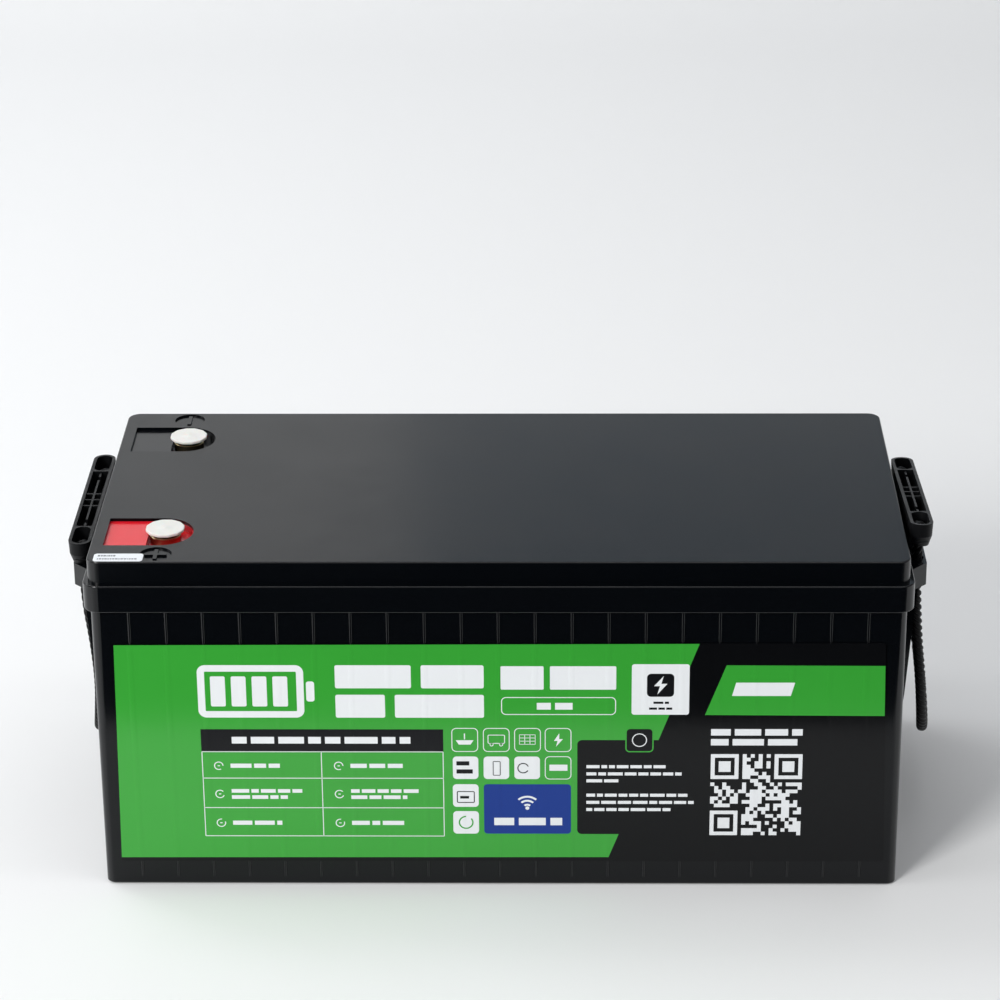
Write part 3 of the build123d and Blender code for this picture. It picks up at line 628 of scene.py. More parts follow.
class FrontLabel:
    """The printed film along the front wall. Every word and sign on it is a plain bar or a plain shape.

    The upright beads of the wall show through it: the film rises to each bead's crest and falls with a
    smooth step to nothing at its reach, both measured from the nearest bead.
    """

    BEAD_PITCH = 22.19
    BEAD_START = 222.2
    BEAD_CREST = 0.2
    BEAD_REACH = 2.6
    FILM_WAVE = 0.8                              # waviness of the film, as a share of a bead's rise
    THICKNESS = 0.28
    SHEET_RADIUS = 2.0
    SKEW = ((0.5, 0.3), (1.6, 0.9), (-2.4, 1.0), (3.0, -0.4))   # the sheet lies a little askew in its box

    SLANT = 0.37                                 # x gained for each millimetre up on the slanted ends
    GREEN_MARGIN = (0.1, 0.2)                    # from the sheet's left side, at the foot and at the top
    GREEN_FOOT = (3.0, 3.6)                      # over the box's foot, at the left and at the right
    GREEN_TOP = (-0.6, 0.5)                      # over the box's top, the same way
    GREEN_END, GREEN_STEP = 67.0, 73.2           # where the lower strip ends, at its foot and at its top
    NOTCH = Area(47.6, 36.4, 97.0, 101.8)        # the black field let into the green one
    NOTCH_RADIUS = 3.0
    GREEN_BAND = ((124.9, 119.0), (233.6, 118.4), (232.8, 152.3), (137.4, 152.7))

    HAIR, FINE = 0.5, 0.6                        # widths of the thin lines
    FRAME_RADIUS = 3.0

    BATTERY = Area(-182.4, 117.0, -118.0, 152.6)
    BATTERY_LINE, BATTERY_RADIUS = 4.4, 5.0
    BATTERY_POLE = Area(-116.6, 128.0, -111.6, 141.6)
    CHARGE = Area(-174.6, 124.6, -165.6, 145.0)
    CHARGE_PITCH, CHARGE_COUNT = 12.6, 4
    NAME_ROWS = ((137.0, (46, 38)), (117.0, (30, 54)))          # foot of a row, widths of its blocks
    NAME_LEFT, NAME_HEIGHT, NAME_GAP = -99.0, 15.6, 6
    RATINGS = (Area(1.2, 136.2, 27.2, 152.0), Area(31.0, 136.2, 71.0, 152.0))
    RATING_FRAME = Area(1.4, 119.0, 71.0, 131.1)
    RATING_WORDS = (23.0, 122.6, 50.0, 4.6)
    KIND_TILE = Area(80.4, 119.2, 115.2, 153.4)
    KIND_SIGN = Area(89.6, 131.4, 106.0, 147.0)
    KIND_BOLT = ((99.6, 145.4), (93.8, 138.6), (97.4, 138.6), (95.9, 133.0), (101.9, 140.2), (98.3, 140.2))
    KIND_WORDS = ((93.6, 126.6, 103.0, 1.5), (91.0, 122.6, 105.0, 1.5))
    BAND_WORD = (141.0, 132.0, 184.0, 9.0)
    BAND_LEAN = 2.4

    TABLE = Area(-181.8, 34.6, -34.0, 93.8)
    TABLE_TOP = 109.0                            # of the dark head over the table
    HEAD_WORDS = (-163.0, 99.2, -54.0, 4.6)
    RULES, MIDDLE = (54.4, 75.0), -108.9
    ROWS, COLUMNS = (83.8, 64.2, 44.0), (-174.0, -100.6)
    DIAL_REACH, DIAL_TURN, DIAL_SWEEP = 2.9, 40, 300
    HAND = Area(1.7, -0.3, 3.1, 0.3)             # the stroke in a dial, from its row and column
    TEXT_INSET = 9.6
    TWO_LINES = ((0.9, 53.0, 31), (-3.4, 44.0, 41))             # height, reach and seed of each line
    ONE_LINE = (-1.4, (40.0, 44.0), 51)

    OUTLINED = tuple(Area(left, 93.6, left + 16.2, 110.0) for left in (-29.0, -9.8, 9.2, 27.8))
    HULL = ((-26.4, 101.6), (-15.6, 101.6), (-17.4, 98.6), (-24.6, 98.6))
    MAST = Area(-21.4, 102.2, -20.7, 106.2)
    COACH = Area(-7.0, 99.2, 3.6, 105.4)
    WHEELS, WHEEL_Z, WHEEL_REACH = (-4.6, 1.2), 98.6, 1.2
    PANEL = Area(12.2, 98.6, 22.2, 105.6)
    PANEL_LINE, PANEL_PITCH = 0.4, (3.2, 2.2)
    TILE_BOLT = ((36.6, 106.4), (33.4, 101.2), (35.6, 101.2), (34.6, 97.2), (38.8, 102.4), (36.6, 102.4))
    FILLED = tuple(Area(left, 74.8, left + 15.6, 90.4) for left in (-28.4, -9.6, 9.2))
    STACKED = tuple(Area(-28.6, foot, -12.8, foot + 15.8) for foot in (55.4, 36.6))
    TILE_RADIUS = 2.4
    TILE_WORDS = ((-26.2, 84.2, -15.0, 2.9), (-26.2, 78.6, -15.0, 2.9))
    PHONE = Area(-4.0, 77.2, 0.8, 87.2)
    CYCLE = (14.6, 82.4, 3.6, 0.7, 20, 330)
    LAST_TILE = Area(27.8, 74.6, 44.0, 90.6)
    LAST_WORDS = (30.6, 80.6, 41.6, 4.2)
    SCREEN = Area(-26.2, 58.2, -15.2, 66.4)
    SCREEN_WORDS = (-24.2, 61.2, -17.2, 1.8)
    GREEN_RING = (-20.7, 44.5, 4.6, 0.9, 90, 400)
    BLUE_TILE = Area(-9.6, 36.6, 43.8, 71.2)
    BLUE_RADIUS = 2.2
    WAVES, WAVE_PLACE, WAVE_LINE, WAVE_SWEEP = (3.2, 6.0, 8.8), (17.0, 54.4), 1.3, (48, 132)
    WAVE_DOT = (17.0, 54.6, 1.2, 1.1, 0, 360)
    BLUE_WORDS = (-3.4, 42.6, 38.4, 5.2)

    SIGN_FRAME = Area(76.8, 93.4, 94.0, 110.2)
    SIGN_FIELD = Area(77.6, 94.2, 93.2, 109.4)
    SIGN_RING = (85.4, 101.8, 4.6, 0.6, 0, 360)
    CARE_LEFT, CARE_HEIGHT = 53.2, 2.1
    CARE_LINES = ((82.4, 103.0), (77.4, 114.0), (72.6, 76.0), (62.6, 117.0), (57.6, 119.0), (52.6, 108.0))
    CODE_HEADS = ((128.8, 105.0, 184.4, 4.4), (128.8, 98.2, 184.4, 4.4))
    CODE = Area(129.0, 35.8, 184.8, 92.2)
    MODULES, CORNER, CORNER_ROOM = 23, 7, 8
    CODE_SEED = 7

    def __init__(self, maker: MaterialMaker) -> None:
        """
        Args:
            maker: gives the materials.
        """
        low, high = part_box("front_label")
        self._box = Area(low[0] / MM, low[2] / MM, high[0] / MM, high[2] / MM)
        self._maker = maker
        self._ink = {name: Ink(low[1] / MM) for name in ("film", "green", "white", "blue", "dark")}

    def _notch(self) -> list[Point]:
        """Draws the rounded left side of the black field, from its lower corner to its upper one."""
        left, foot, _, top = self.NOTCH
        bend = self.NOTCH_RADIUS
        turns = np.radians(np.linspace(0, 90, 7))
        lower = [(left + bend - bend * math.sin(t), foot + bend - bend * math.cos(t)) for t in turns]
        upper = [(left + bend - bend * math.cos(t), top - bend + bend * math.sin(t)) for t in turns]
        return lower + upper

    def _panels(self) -> None:
        """Draws the black film and the two green fields with their slanted ends."""
        film, green, box = self._ink["film"], self._ink["green"], self._box
        square = ((box.left, box.foot), (box.right, box.foot), (box.right, box.top), (box.left, box.top))
        sheet = [(x + across, z + up) for (x, z), (across, up) in zip(square, self.SKEW)]
        foot_left, top_left = sheet[0][0] + self.GREEN_MARGIN[0], sheet[3][0] + self.GREEN_MARGIN[1]
        rounded = softened(sheet, self.SHEET_RADIUS)
        film.shape(rounded, Layer.FILM)
        film.skirt(rounded, Layer.FILM, self.THICKNESS)
        end = self.NOTCH.right + (box.top - self.NOTCH.top) * self.SLANT
        field = [(foot_left, box.foot + self.GREEN_FOOT[0]), (self.GREEN_END, box.foot + self.GREEN_FOOT[1]),
                 (self.GREEN_STEP, self.NOTCH.foot), *self._notch(), (self.NOTCH.right, self.NOTCH.top),
                 (end, box.top + self.GREEN_TOP[1]), (top_left, box.top + self.GREEN_TOP[0])]
        green.shape(field, Layer.FIRST)
        green.shape(self.GREEN_BAND, Layer.FIRST)

    def _heading(self) -> None:
        """Draws the battery sign, the rows of plain blocks, the rating lines and the tile beside them."""
        white, dark = self._ink["white"], self._ink["dark"]
        white.frame(*self.BATTERY, self.BATTERY_LINE, Layer.SECOND, radius=self.BATTERY_RADIUS)
        white.box(*self.BATTERY_POLE, Layer.SECOND, radius=1.6)
        for step in range(self.CHARGE_COUNT):
            white.box(*self.CHARGE.moved(step * self.CHARGE_PITCH), Layer.SECOND, radius=1.0)
        for foot, widths in self.NAME_ROWS:
            x = self.NAME_LEFT
            for width in widths:
                white.box(x, foot, x + width, foot + self.NAME_HEIGHT, Layer.SECOND, radius=1.2)
                x += width + self.NAME_GAP
        for area in self.RATINGS:
            white.box(*area, Layer.SECOND, radius=0.8)
        white.frame(*self.RATING_FRAME, 0.55, Layer.SECOND, radius=self.FRAME_RADIUS)
        white.words(*self.RATING_WORDS, Layer.SECOND, 3)
        white.box(*self.KIND_TILE, Layer.SECOND, radius=1.6)
        dark.box(*self.KIND_SIGN, Layer.THIRD, radius=2.6)
        white.shape(self.KIND_BOLT, Layer.FOURTH)
        for seed, place in enumerate(self.KIND_WORDS, 5):
            dark.words(*place, Layer.THIRD, seed)
        white.words(*self.BAND_WORD, Layer.SECOND, 21, lean=self.BAND_LEAN)

    def _table(self) -> None:
        """Draws the ruled table with its dark head and its rows of dials and bars."""
        white, dark, table = self._ink["white"], self._ink["dark"], self.TABLE
        dark.box(table.left, table.top, table.right, self.TABLE_TOP, Layer.SECOND)
        white.words(*self.HEAD_WORDS, Layer.THIRD, 11)
        white.frame(*table, self.HAIR, Layer.SECOND, radius=0.6)
        for z in self.RULES:
            white.box(table.left, z, table.right, z + self.HAIR, Layer.SECOND)
        white.box(self.MIDDLE, table.foot, self.MIDDLE + self.HAIR, table.top, Layer.SECOND)
        for row, z in enumerate(self.ROWS):
            for side, x in enumerate(self.COLUMNS):
                start = self.DIAL_TURN * row
                middle = x + (self.HAND.left + self.HAND.right) / 2
                white.arc(middle, z, self.DIAL_REACH, self.FINE, start, start + self.DIAL_SWEEP, Layer.SECOND)
                white.box(*self.HAND.moved(x, z), Layer.SECOND)
                text = x + self.TEXT_INSET
                if row == 1:
                    for up, reach, seed in self.TWO_LINES:
                        white.words(text, z + up, x + reach, 2.5, Layer.SECOND, seed + side)
                else:
                    up, reaches, seed = self.ONE_LINE
                    white.words(text, z + up, x + reaches[side], 2.9, Layer.SECOND, seed + row * 2 + side)

    def _tiles(self) -> None:
        """Draws the rows of small tiles with plain signs in them, and the blue tile."""
        white, dark, blue, green = (self._ink[name] for name in ("white", "dark", "blue", "green"))
        for area in self.OUTLINED:
            white.frame(*area, self.HAIR, Layer.SECOND, radius=self.FRAME_RADIUS)
        white.shape(self.HULL, Layer.SECOND)
        white.box(*self.MAST, Layer.SECOND)
        white.frame(*self.COACH, self.HAIR, Layer.SECOND, radius=1.0)
        for x in self.WHEELS:
            white.arc(x, self.WHEEL_Z, self.WHEEL_REACH, self.HAIR, 0, 360, Layer.SECOND)
        panel, line = self.PANEL, self.PANEL_LINE
        for step in range(4):
            x, z = panel.left + step * self.PANEL_PITCH[0], panel.foot + step * self.PANEL_PITCH[1]
            white.box(x, panel.foot, x + line, panel.top, Layer.SECOND)
            white.box(panel.left, z, panel.right, z + line, Layer.SECOND)
        white.shape(self.TILE_BOLT, Layer.SECOND)
        for area in self.FILLED:
            white.box(*area, Layer.SECOND, radius=self.TILE_RADIUS)
        for seed, place in enumerate(self.TILE_WORDS, 61):
            dark.words(*place, Layer.THIRD, seed)
        dark.frame(*self.PHONE, self.HAIR, Layer.THIRD, radius=0.8)
        dark.arc(*self.CYCLE, Layer.THIRD)
        white.frame(*self.LAST_TILE, self.HAIR, Layer.SECOND, radius=self.FRAME_RADIUS)
        white.words(*self.LAST_WORDS, Layer.SECOND, 66)
        for area in self.STACKED:
            white.box(*area, Layer.SECOND, radius=self.TILE_RADIUS)
        dark.frame(*self.SCREEN, self.FINE, Layer.THIRD, radius=1.0)
        dark.words(*self.SCREEN_WORDS, Layer.THIRD, 68)
        green.arc(*self.GREEN_RING, Layer.THIRD)
        blue.box(*self.BLUE_TILE, Layer.SECOND, radius=self.BLUE_RADIUS)
        for reach in self.WAVES:
            white.arc(*self.WAVE_PLACE, reach, self.WAVE_LINE, *self.WAVE_SWEEP, Layer.THIRD)
        white.arc(*self.WAVE_DOT, Layer.THIRD)
        white.words(*self.BLUE_WORDS, Layer.THIRD, 71)

    def _right_side(self) -> None:
        """Draws the small lines, the little framed tile and the heading over the square pattern."""
        white, dark, green = self._ink["white"], self._ink["dark"], self._ink["green"]
        green.frame(*self.SIGN_FRAME, 0.8, Layer.SECOND, radius=2.8)
        dark.box(*self.SIGN_FIELD, Layer.THIRD, radius=2.2)
        white.arc(*self.SIGN_RING, Layer.FOURTH)
        for seed, (z, right) in enumerate(self.CARE_LINES, 80):
            white.words(self.CARE_LEFT, z, right, self.CARE_HEIGHT, Layer.FIRST, seed)
        for seed, place in enumerate(self.CODE_HEADS, 90):
            white.words(*place, Layer.FIRST, seed)

    def _pattern(self) -> None:
        """Draws a square of scattered modules that holds no message: a coin is tossed for each one."""
        white, code, last = self._ink["white"], self.CODE, self.MODULES - self.CORNER_ROOM
        wide, tall = (code.right - code.left) / self.MODULES, (code.top - code.foot) / self.MODULES
        chance = np.random.default_rng(self.CODE_SEED)
        for row in range(self.MODULES):
            for column in range(self.MODULES):
                near, low = column < self.CORNER_ROOM, row < self.CORNER_ROOM
                in_corner = (near or column >= last) and row >= last or near and low
                if in_corner or chance.random() < 0.5:
                    continue
                x, z = code.left + column * wide, code.foot + row * tall
                white.box(x, z, x + wide, z + tall, Layer.FIRST)
        right, top = code.right - self.CORNER * wide, code.top - self.CORNER * tall
        for x, z in ((code.left, code.foot), (code.left, top), (right, top)):
            white.frame(x, z, x + self.CORNER * wide, z + self.CORNER * tall, wide, Layer.FIRST, radius=0.3)
            white.box(x + 2 * wide, z + 2 * tall, x + 5 * wide, z + 5 * tall, Layer.FIRST)

    def build(self) -> None:
        """Makes the label's pieces and lays them on the case."""
        self._panels()
        self._heading()
        self._table()
        self._tiles()
        self._right_side()
        self._pattern()
        finishes = {"film": FILM_BLACK, "green": INK_GREEN, "white": INK_WHITE, "blue": INK_BLUE,
                    "dark": INK_DARK}
        for name, finish in finishes.items():
            piece = self._ink[name].build(f"label_{name}", self._maker.make(finish))
            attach(piece, "battery")
            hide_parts("front_label")


class SerialSticker:
    """The small white sticker near the lid's front left corner, its upper edge rolled over a little."""

    RADIUS = 2.0
    EDGE = 0.06                          # height of the rolled edge
    SHRINK = 0.992                       # the top's size as a share of the outline's
    SUNK, PROUD = 0.02, 0.03             # foot below the lid's top, and print above the paper
    LINES = ((6.4, 2.0, 13.0), (2.2, 1.6, None))     # y of a line, its height, and its end unless it is full
    MARGIN, START = 3.0, 2.4
    STROKE, STROKE_GAP = (0.5, 1.5), 0.45

    def __init__(self, maker: MaterialMaker) -> None:
        """
        Args:
            maker: gives the materials.
        """
        self._maker = maker

    def build(self) -> None:
        """Makes the sticker and its two lines of bars."""
        low, high = (np.array(corner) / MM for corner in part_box("serial_sticker"))
        outline = np.array(rounded_box(low[0], low[1], high[0], high[1], self.RADIUS))
        paper = Draft()
        heights = (low[2] - self.SUNK, high[2] - self.EDGE)
        rows = np.array([[(x, y, z) for x, y in outline] for z in heights])
        middle = outline.mean(axis=0)
        top = np.array([[(x, y, high[2]) for x, y in middle + (outline - middle) * self.SHRINK]])
        paper.grid(np.concatenate([rows, top]), ends=True)
        sheet = paper.build("sticker_paper", self._maker.make(PAPER), smooth=False)
        ink = Draft()
        chance = np.random.default_rng(4)
        for up, tall, stop in self.LINES:
            x, right = self.START, stop or high[0] - low[0] - self.MARGIN
            while x < right - 1:
                wide = chance.uniform(*self.STROKE)
                left, foot = low[0] + x, low[1] + up
                corners = [(left, foot), (left + wide, foot), (left + wide, foot + tall), (left, foot + tall)]
                ink.add(np.array([(*corner, high[2] + self.PROUD) for corner in corners]), [(0, 1, 2, 3)])
                x += wide + self.STROKE_GAP
        print_piece = ink.build("sticker_print", self._maker.make(PAPER_INK), smooth=False)
        for piece in (sheet, print_piece):
            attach(piece, "battery")
            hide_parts("serial_sticker")


class ThumbCap:
    """A white screw cap: a twelve-sided head with softened edges over a threaded stem."""

    SIDES = 12
    ROLL = 0.55                          # radius of the rolled edges
    CORNER_START = 0.42                  # where a corner's rounding starts, as a share of a side
    CORNER_CUT = 0.010                   # how much the rounding takes off the radius, as a share
    HUB = ((0.90, -0.01), (0.6, -0.05), (0.10, -0.06), (0.075, 0.04), (0.02, 0.05))   # the dish and its pip
    STEM_LENGTH = 10.0
    STEM_RADIUS = 3.3
    THREAD_PITCH = 1.25
    THREAD_DEPTH = 0.33
    SHARP = 40                           # edges bent by more degrees than this stay hard
    LEAD_IN = 1.2                        # length over which the thread starts at the stem's end

    def __init__(self, pole: str, maker: MaterialMaker) -> None:
        """
        Args:
            pole: positive or negative.
            maker: gives the materials.
        """
        self._pole = pole
        self._maker = maker
        low, high = (np.array(corner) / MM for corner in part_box(f"{pole}_cap"))
        self._centre = (low + high) / 2
        self._top = high[2]
        self._radius = (high[0] - low[0]) / 2
        self._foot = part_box(f"{pole}_cap_washer")[1][2] / MM

    def _head(self, draft: Draft) -> None:
        """Adds the head. Round the axis the radius is that of a regular polygon, blended towards a circle at
        its corners; up the axis it follows an edge rolled over with a small radius and a shallow dish on top.

        Args:
            draft: the cap's mesh.
        """
        turns = np.linspace(0, 2 * np.pi, self.SIDES * 10, endpoint=False)
        sector = 2 * np.pi / self.SIDES
        off = (turns + sector / 2) % sector - sector / 2
        flat = math.cos(sector / 2) / np.cos(np.abs(off))
        past = (np.abs(off) / sector - self.CORNER_START) / (0.5 - self.CORNER_START)
        flat = np.where(past > 0, flat - self.CORNER_CUT * past ** 2, flat)
        roll, tall = self.ROLL, self._top - self._foot
        share = roll / self._radius
        bends = np.radians((20, 45, 70, 90))
        profile: list[tuple[float, float]] = [(0.30, 0.0), (0.90, 0.0)]
        profile += [(1 - share * (1 - math.sin(t)), roll * (1 - math.cos(t))) for t in bends]
        profile += [(1 - share * (1 - math.cos(t)), tall - roll + roll * math.sin(t)) for t in (0.0, *bends)]
        profile += [(part, tall + rise) for part, rise in self.HUB]
        rows = []
        for share, height in profile:
            polygon = 1 + (flat - 1) * min(1.0, max(0.0, (share - 0.3) / 0.5))
            reach = self._radius * share * polygon
            rows.append(np.stack([self._centre[0] + reach * np.cos(turns),
                                  self._centre[1] + reach * np.sin(turns),
                                  np.full_like(turns, self._foot + height)], axis=-1))
        draft.grid(np.array(rows), ends=True)

    def _stem(self, draft: Draft) -> None:
        """Adds the stem. Its radius is the core's plus half the thread's depth times one plus the cosine of
        the height over the pitch, in turns, less the angle round the axis, which cuts one thread.

        Args:
            draft: the cap's mesh.
        """
        heights = np.linspace(-self.STEM_LENGTH, 0.05, 160)
        turns = np.linspace(0, 2 * np.pi, 28, endpoint=False)
        tall, turn = np.meshgrid(heights, turns, indexing="ij")
        wave = 0.5 + 0.5 * np.cos(2 * np.pi * tall / self.THREAD_PITCH - turn)
        fade = np.clip((tall + self.STEM_LENGTH) / self.LEAD_IN, 0, 1)
        reach = (self.STEM_RADIUS - 0.35) + self.THREAD_DEPTH * wave * fade - 0.3 * (1 - fade)
        rows = np.stack([self._centre[0] + reach * np.cos(turn), self._centre[1] + reach * np.sin(turn),
                         self._foot + tall], axis=-1)
        draft.grid(rows, ends=True)

    def build(self) -> None:
        """Makes the cap, which turns with its body."""
        draft = Draft()
        self._head(draft)
        self._stem(draft)
        piece = draft.build(f"{self._pole}_thumb_cap", self._maker.make(CAP))
        piece.data.set_sharp_from_angle(angle=math.radians(self.SHARP))
        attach(piece, f"{self._pole}_cap_body")
        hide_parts(f"{self._pole}_cap")


@dataclass(frozen=True)
class HandleRope:
    """One handle's rope: where it comes out of the lug, how it hangs, and where it ends in the grip."""

    side: str
    bow: tuple[Place, ...]
    length: float
    legs: tuple[tuple[float, float, float], ...]   # x, y and the height of the knot's foot


LUG_FOOT = 181.5
ROPES = (
    HandleRope("right",
               ((255.6, -55, LUG_FOOT), (255.6, -55, 176), (258.2, -52.5, 140), (262.6, -45.5, 107),
                (265.6, -33, 78), (268.2, -15, 57), (271.4, 7, 50.5), (272, 28, 63), (269.8, 43, 88),
                (265, 51.5, 120), (255.6, 55, 162), (255.6, 55, LUG_FOOT)),
               305.0,
               ((255.6, -55.0, 213.2), (255.6, 55.0, 201.7))),
    HandleRope("left",
               ((-255.6, -55, LUG_FOOT), (-255.6, -55, 167), (-252.2, -52.5, 136), (-251.8, -45, 104),
                (-255, -33, 77), (-258.6, -15, 57), (-260.4, 7, 51.5), (-258.8, 28, 63),
                (-255, 43, 88), (-252.4, 51.5, 121), (-255.6, 55, 162), (-255.6, 55, LUG_FOOT)),
               304.0,
               ((-255.6, -55.0, 200.6), (-255.6, 55.0, 200.6))),
)


class LaidRope:
    """Makes three-strand rope along a line.

    Across the rope the outline is that of three round strands side by side: its radius is the distance at
    which a ray from the middle leaves the nearest strand, with the deep groove between two strands filled a
    little, as it is where the strands cross at a slant. The outline turns once in each lay length.
    """

    DIAMETER = 6.9
    LAY = 15.0           # length in which a strand goes once round
    STEP = 0.6           # distance between rings
    AROUND = 36          # points on a ring
    FULLNESS = 1.32      # how far the strands are pressed out of round
    GROOVE = 0.62        # radius at the foot of a groove, as a share of the rope's
    WEAR = 0.05          # how much a strand's crown is worn towards a groove

    @classmethod
    def outline(cls, turns: np.ndarray) -> np.ndarray:
        """Gives the rope's radius at angles measured from the middle of a strand.

        Args:
            turns: angles in radians.

        Returns:
            Radii in millimetres.
        """
        outer = cls.DIAMETER / 2
        strand = outer / (1 + 2 / math.sqrt(3))
        off = outer - strand
        third = 2 * np.pi / 3
        near = (turns + third / 2) % third - third / 2
        inside = np.maximum(strand ** 2 * cls.FULLNESS - (off * np.sin(near)) ** 2, 0.0)
        reach = off * np.cos(near) + np.sqrt(inside)
        crown = outer * (1 - cls.WEAR * (near / (third / 2)) ** 2)
        return np.minimum(np.maximum(reach, cls.GROOVE * outer), crown)

    @staticmethod
    def line(route: Sequence[Place]) -> np.ndarray:
        """Reads a smooth line off a spline whose control points are the route.

        Args:
            route: the control points in millimetres.

        Returns:
            Points on the line, evenly spaced.
        """
        curve = bpy.data.curves.new("rope_line", "CURVE")
        curve.dimensions = "3D"
        curve.resolution_u = 48
        spline = curve.splines.new("NURBS")
        spline.points.add(len(route) - 1)
        for knot, place in zip(spline.points, route):
            knot.co = (*place, 1.0)
        spline.order_u = 3
        spline.use_endpoint_u = True
        holder = bpy.data.objects.new("rope_line", curve)
        mesh = bpy.data.meshes.new_from_object(holder)
        raw = np.empty(len(mesh.vertices) * 3)
        mesh.vertices.foreach_get("co", raw)
        raw = raw.reshape(-1, 3)
        bpy.data.objects.remove(holder)
        bpy.data.curves.remove(curve)
        bpy.data.meshes.remove(mesh)
        gone = np.concatenate([[0], np.cumsum(np.linalg.norm(np.diff(raw, axis=0), axis=1))])
        even = np.linspace(0, gone[-1], int(gone[-1] / LaidRope.STEP) + 1)
        return np.stack([np.interp(even, gone, raw[:, axis]) for axis in range(3)], axis=-1)

    @classmethod
    def add(cls, draft: Draft, line: np.ndarray, travel: np.ndarray, swell: np.ndarray | None = None) -> None:
        """Adds rope along a line, its frame carried on from point to point without spin.

        Args:
            draft: the mesh it goes into.
            line: points on its axis.
            travel: how far along the lay each point is.
            swell: factor on the radius at each point.
        """
        along = np.gradient(line, axis=0)
        along /= np.linalg.norm(along, axis=1, keepdims=True)
        side = np.zeros_like(line)
        first = np.cross(along[0], (0.0, 1.0, 0.0))
        side[0] = first / np.linalg.norm(first)
        for i in range(1, len(line)):
            carried = side[i - 1] - along[i] * side[i - 1].dot(along[i])
            side[i] = carried / np.linalg.norm(carried)
        across = np.cross(along, side)
        turns = np.linspace(0, 2 * np.pi, cls.AROUND, endpoint=False)
        twist = 2 * np.pi * travel / cls.LAY
        reach = cls.outline(turns[None, :] - twist[:, None])
        if swell is not None:
            reach = reach * swell[:, None]
        out = side[:, None] * np.cos(turns)[None, :, None] + across[:, None] * np.sin(turns)[None, :, None]
        rows = line[:, None] + reach[..., None] * out
        around = (turns[None, :] - twist[:, None]) * cls.DIAMETER / 2
        uv = np.stack([np.broadcast_to(travel[:, None], reach.shape), around], axis=-1)
        draft.grid(rows, uv, ends=True)


class Handle:
    """A rope handle: the bow that hangs below the lug, the two legs through the lug, and their end knots."""

    LIFT = 85.0            # how far the grip rises
    BOW_KEPT = 0.22        # share of its depth that the bow keeps once the grip is up
    PAY_START = 181.5      # PAY_START = 181.5 # the leg's rings start to crowd here
    PAY_END = 196.0        # PAY_END = 196.0 # and are even again from here up
    KNOT_RADIUS = 4.6
    KNOT_HEIGHT = 7.0
    SWELL_END = 0.22       # where the knot is at its widest, as a share of its height
    DOME_START = 0.55      # where its dome starts, the same way

    def __init__(self, rope: HandleRope, maker: MaterialMaker) -> None:
        """
        Args:
            rope: the rope's route.
            maker: gives the materials.
        """
        self._rope = rope
        self._maker = maker

    def _leg(self, x: float, y: float, top: float) -> bpy.types.Object:
        """Makes one leg. Below the grip its rings are crowded where the rope is paid out, so that they are
        even when the grip is up: a ring's travel is its height plus the lift times a smooth step through
        the lug.

        Args:
            x: the leg's place.
            y: the leg's place.
            top: height of its knot's foot.

        Returns:
            The leg.
        """
        heights = np.linspace(self.PAY_START, top, 4000)
        step = np.clip((heights - self.PAY_START) / (self.PAY_END - self.PAY_START), 0, 1)
        travel = heights - self.PAY_START + self.LIFT * step * step * (3 - 2 * step)
        even = np.arange(0.0, travel[-1], LaidRope.STEP)
        tall = np.interp(even, travel, heights)
        line = np.stack([np.full_like(tall, x), np.full_like(tall, y), tall], axis=-1)
        draft = Draft()
        LaidRope.add(draft, line, even)
        end = "front" if y < 0 else "rear"
        piece = draft.build(f"rope_leg_{self._rope.side}_{end}", self._maker.make(ROPE))
        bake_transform(piece)
        return piece

    def _knot(self, draft: Draft, x: float, y: float, foot: float) -> None:
        """Adds a stopper: the rope swells to the knot's radius, keeps its strands, and closes in a dome.

        Args:
            draft: the mesh it goes into.
            x: its place.
            y: its place.
            foot: height of its underside.
        """
        rise = np.linspace(-0.4, 1.0, 60)
        tall = foot + self.KNOT_HEIGHT * rise
        outer = LaidRope.DIAMETER / 2
        wide = self.KNOT_RADIUS / outer
        ramp = np.clip(rise / self.SWELL_END, 0, 1)
        swell = 1 + (wide - 1) * ramp * ramp * (3 - 2 * ramp)
        fall = np.clip((rise - self.DOME_START) / (1 - self.DOME_START), 0, 1)
        dome = np.sqrt(np.clip(1 - fall ** 2, 0.004, 1))
        line = np.stack([np.full_like(tall, x), np.full_like(tall, y), tall], axis=-1)
        LaidRope.add(draft, line, tall - self.PAY_START + self.LIFT, swell * dome)

    def build(self) -> None:
        """Makes the handle's rope pieces and hides the CAD parts that they stand for."""
        rope = self._rope
        line = LaidRope.line(rope.bow)
        travel = np.linspace(0, np.linalg.norm(np.diff(line, axis=0), axis=1).sum(), len(line))
        log.info("%s bow measures %.1f mm", rope.side, travel[-1])
        draft = Draft()
        LaidRope.add(draft, line, -travel)
        bow = draft.build(f"rope_bow_{rope.side}", self._maker.make(ROPE))
        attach(bow, "battery")
        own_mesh(bow)
        legs = [self._leg(*leg) for leg in rope.legs]
        knots = Draft()
        for leg in rope.legs:
            self._knot(knots, *leg)
        ends = knots.build(f"rope_ends_{rope.side}", self._maker.make(ROPE))
        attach(ends, f"handle_{rope.side}")
        for piece in (bow, *legs):
            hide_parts(f"handle_rope_{rope.side}")
        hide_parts(f"rope_knots_{rope.side}")


@dataclass(frozen=True)
class SoftBox:
    """A rectangular lamp aimed at a point."""

    name: str
    place: Place
    aim: Place
    width: float
    height: float
    power: float
    colour: str = "#ffffff"


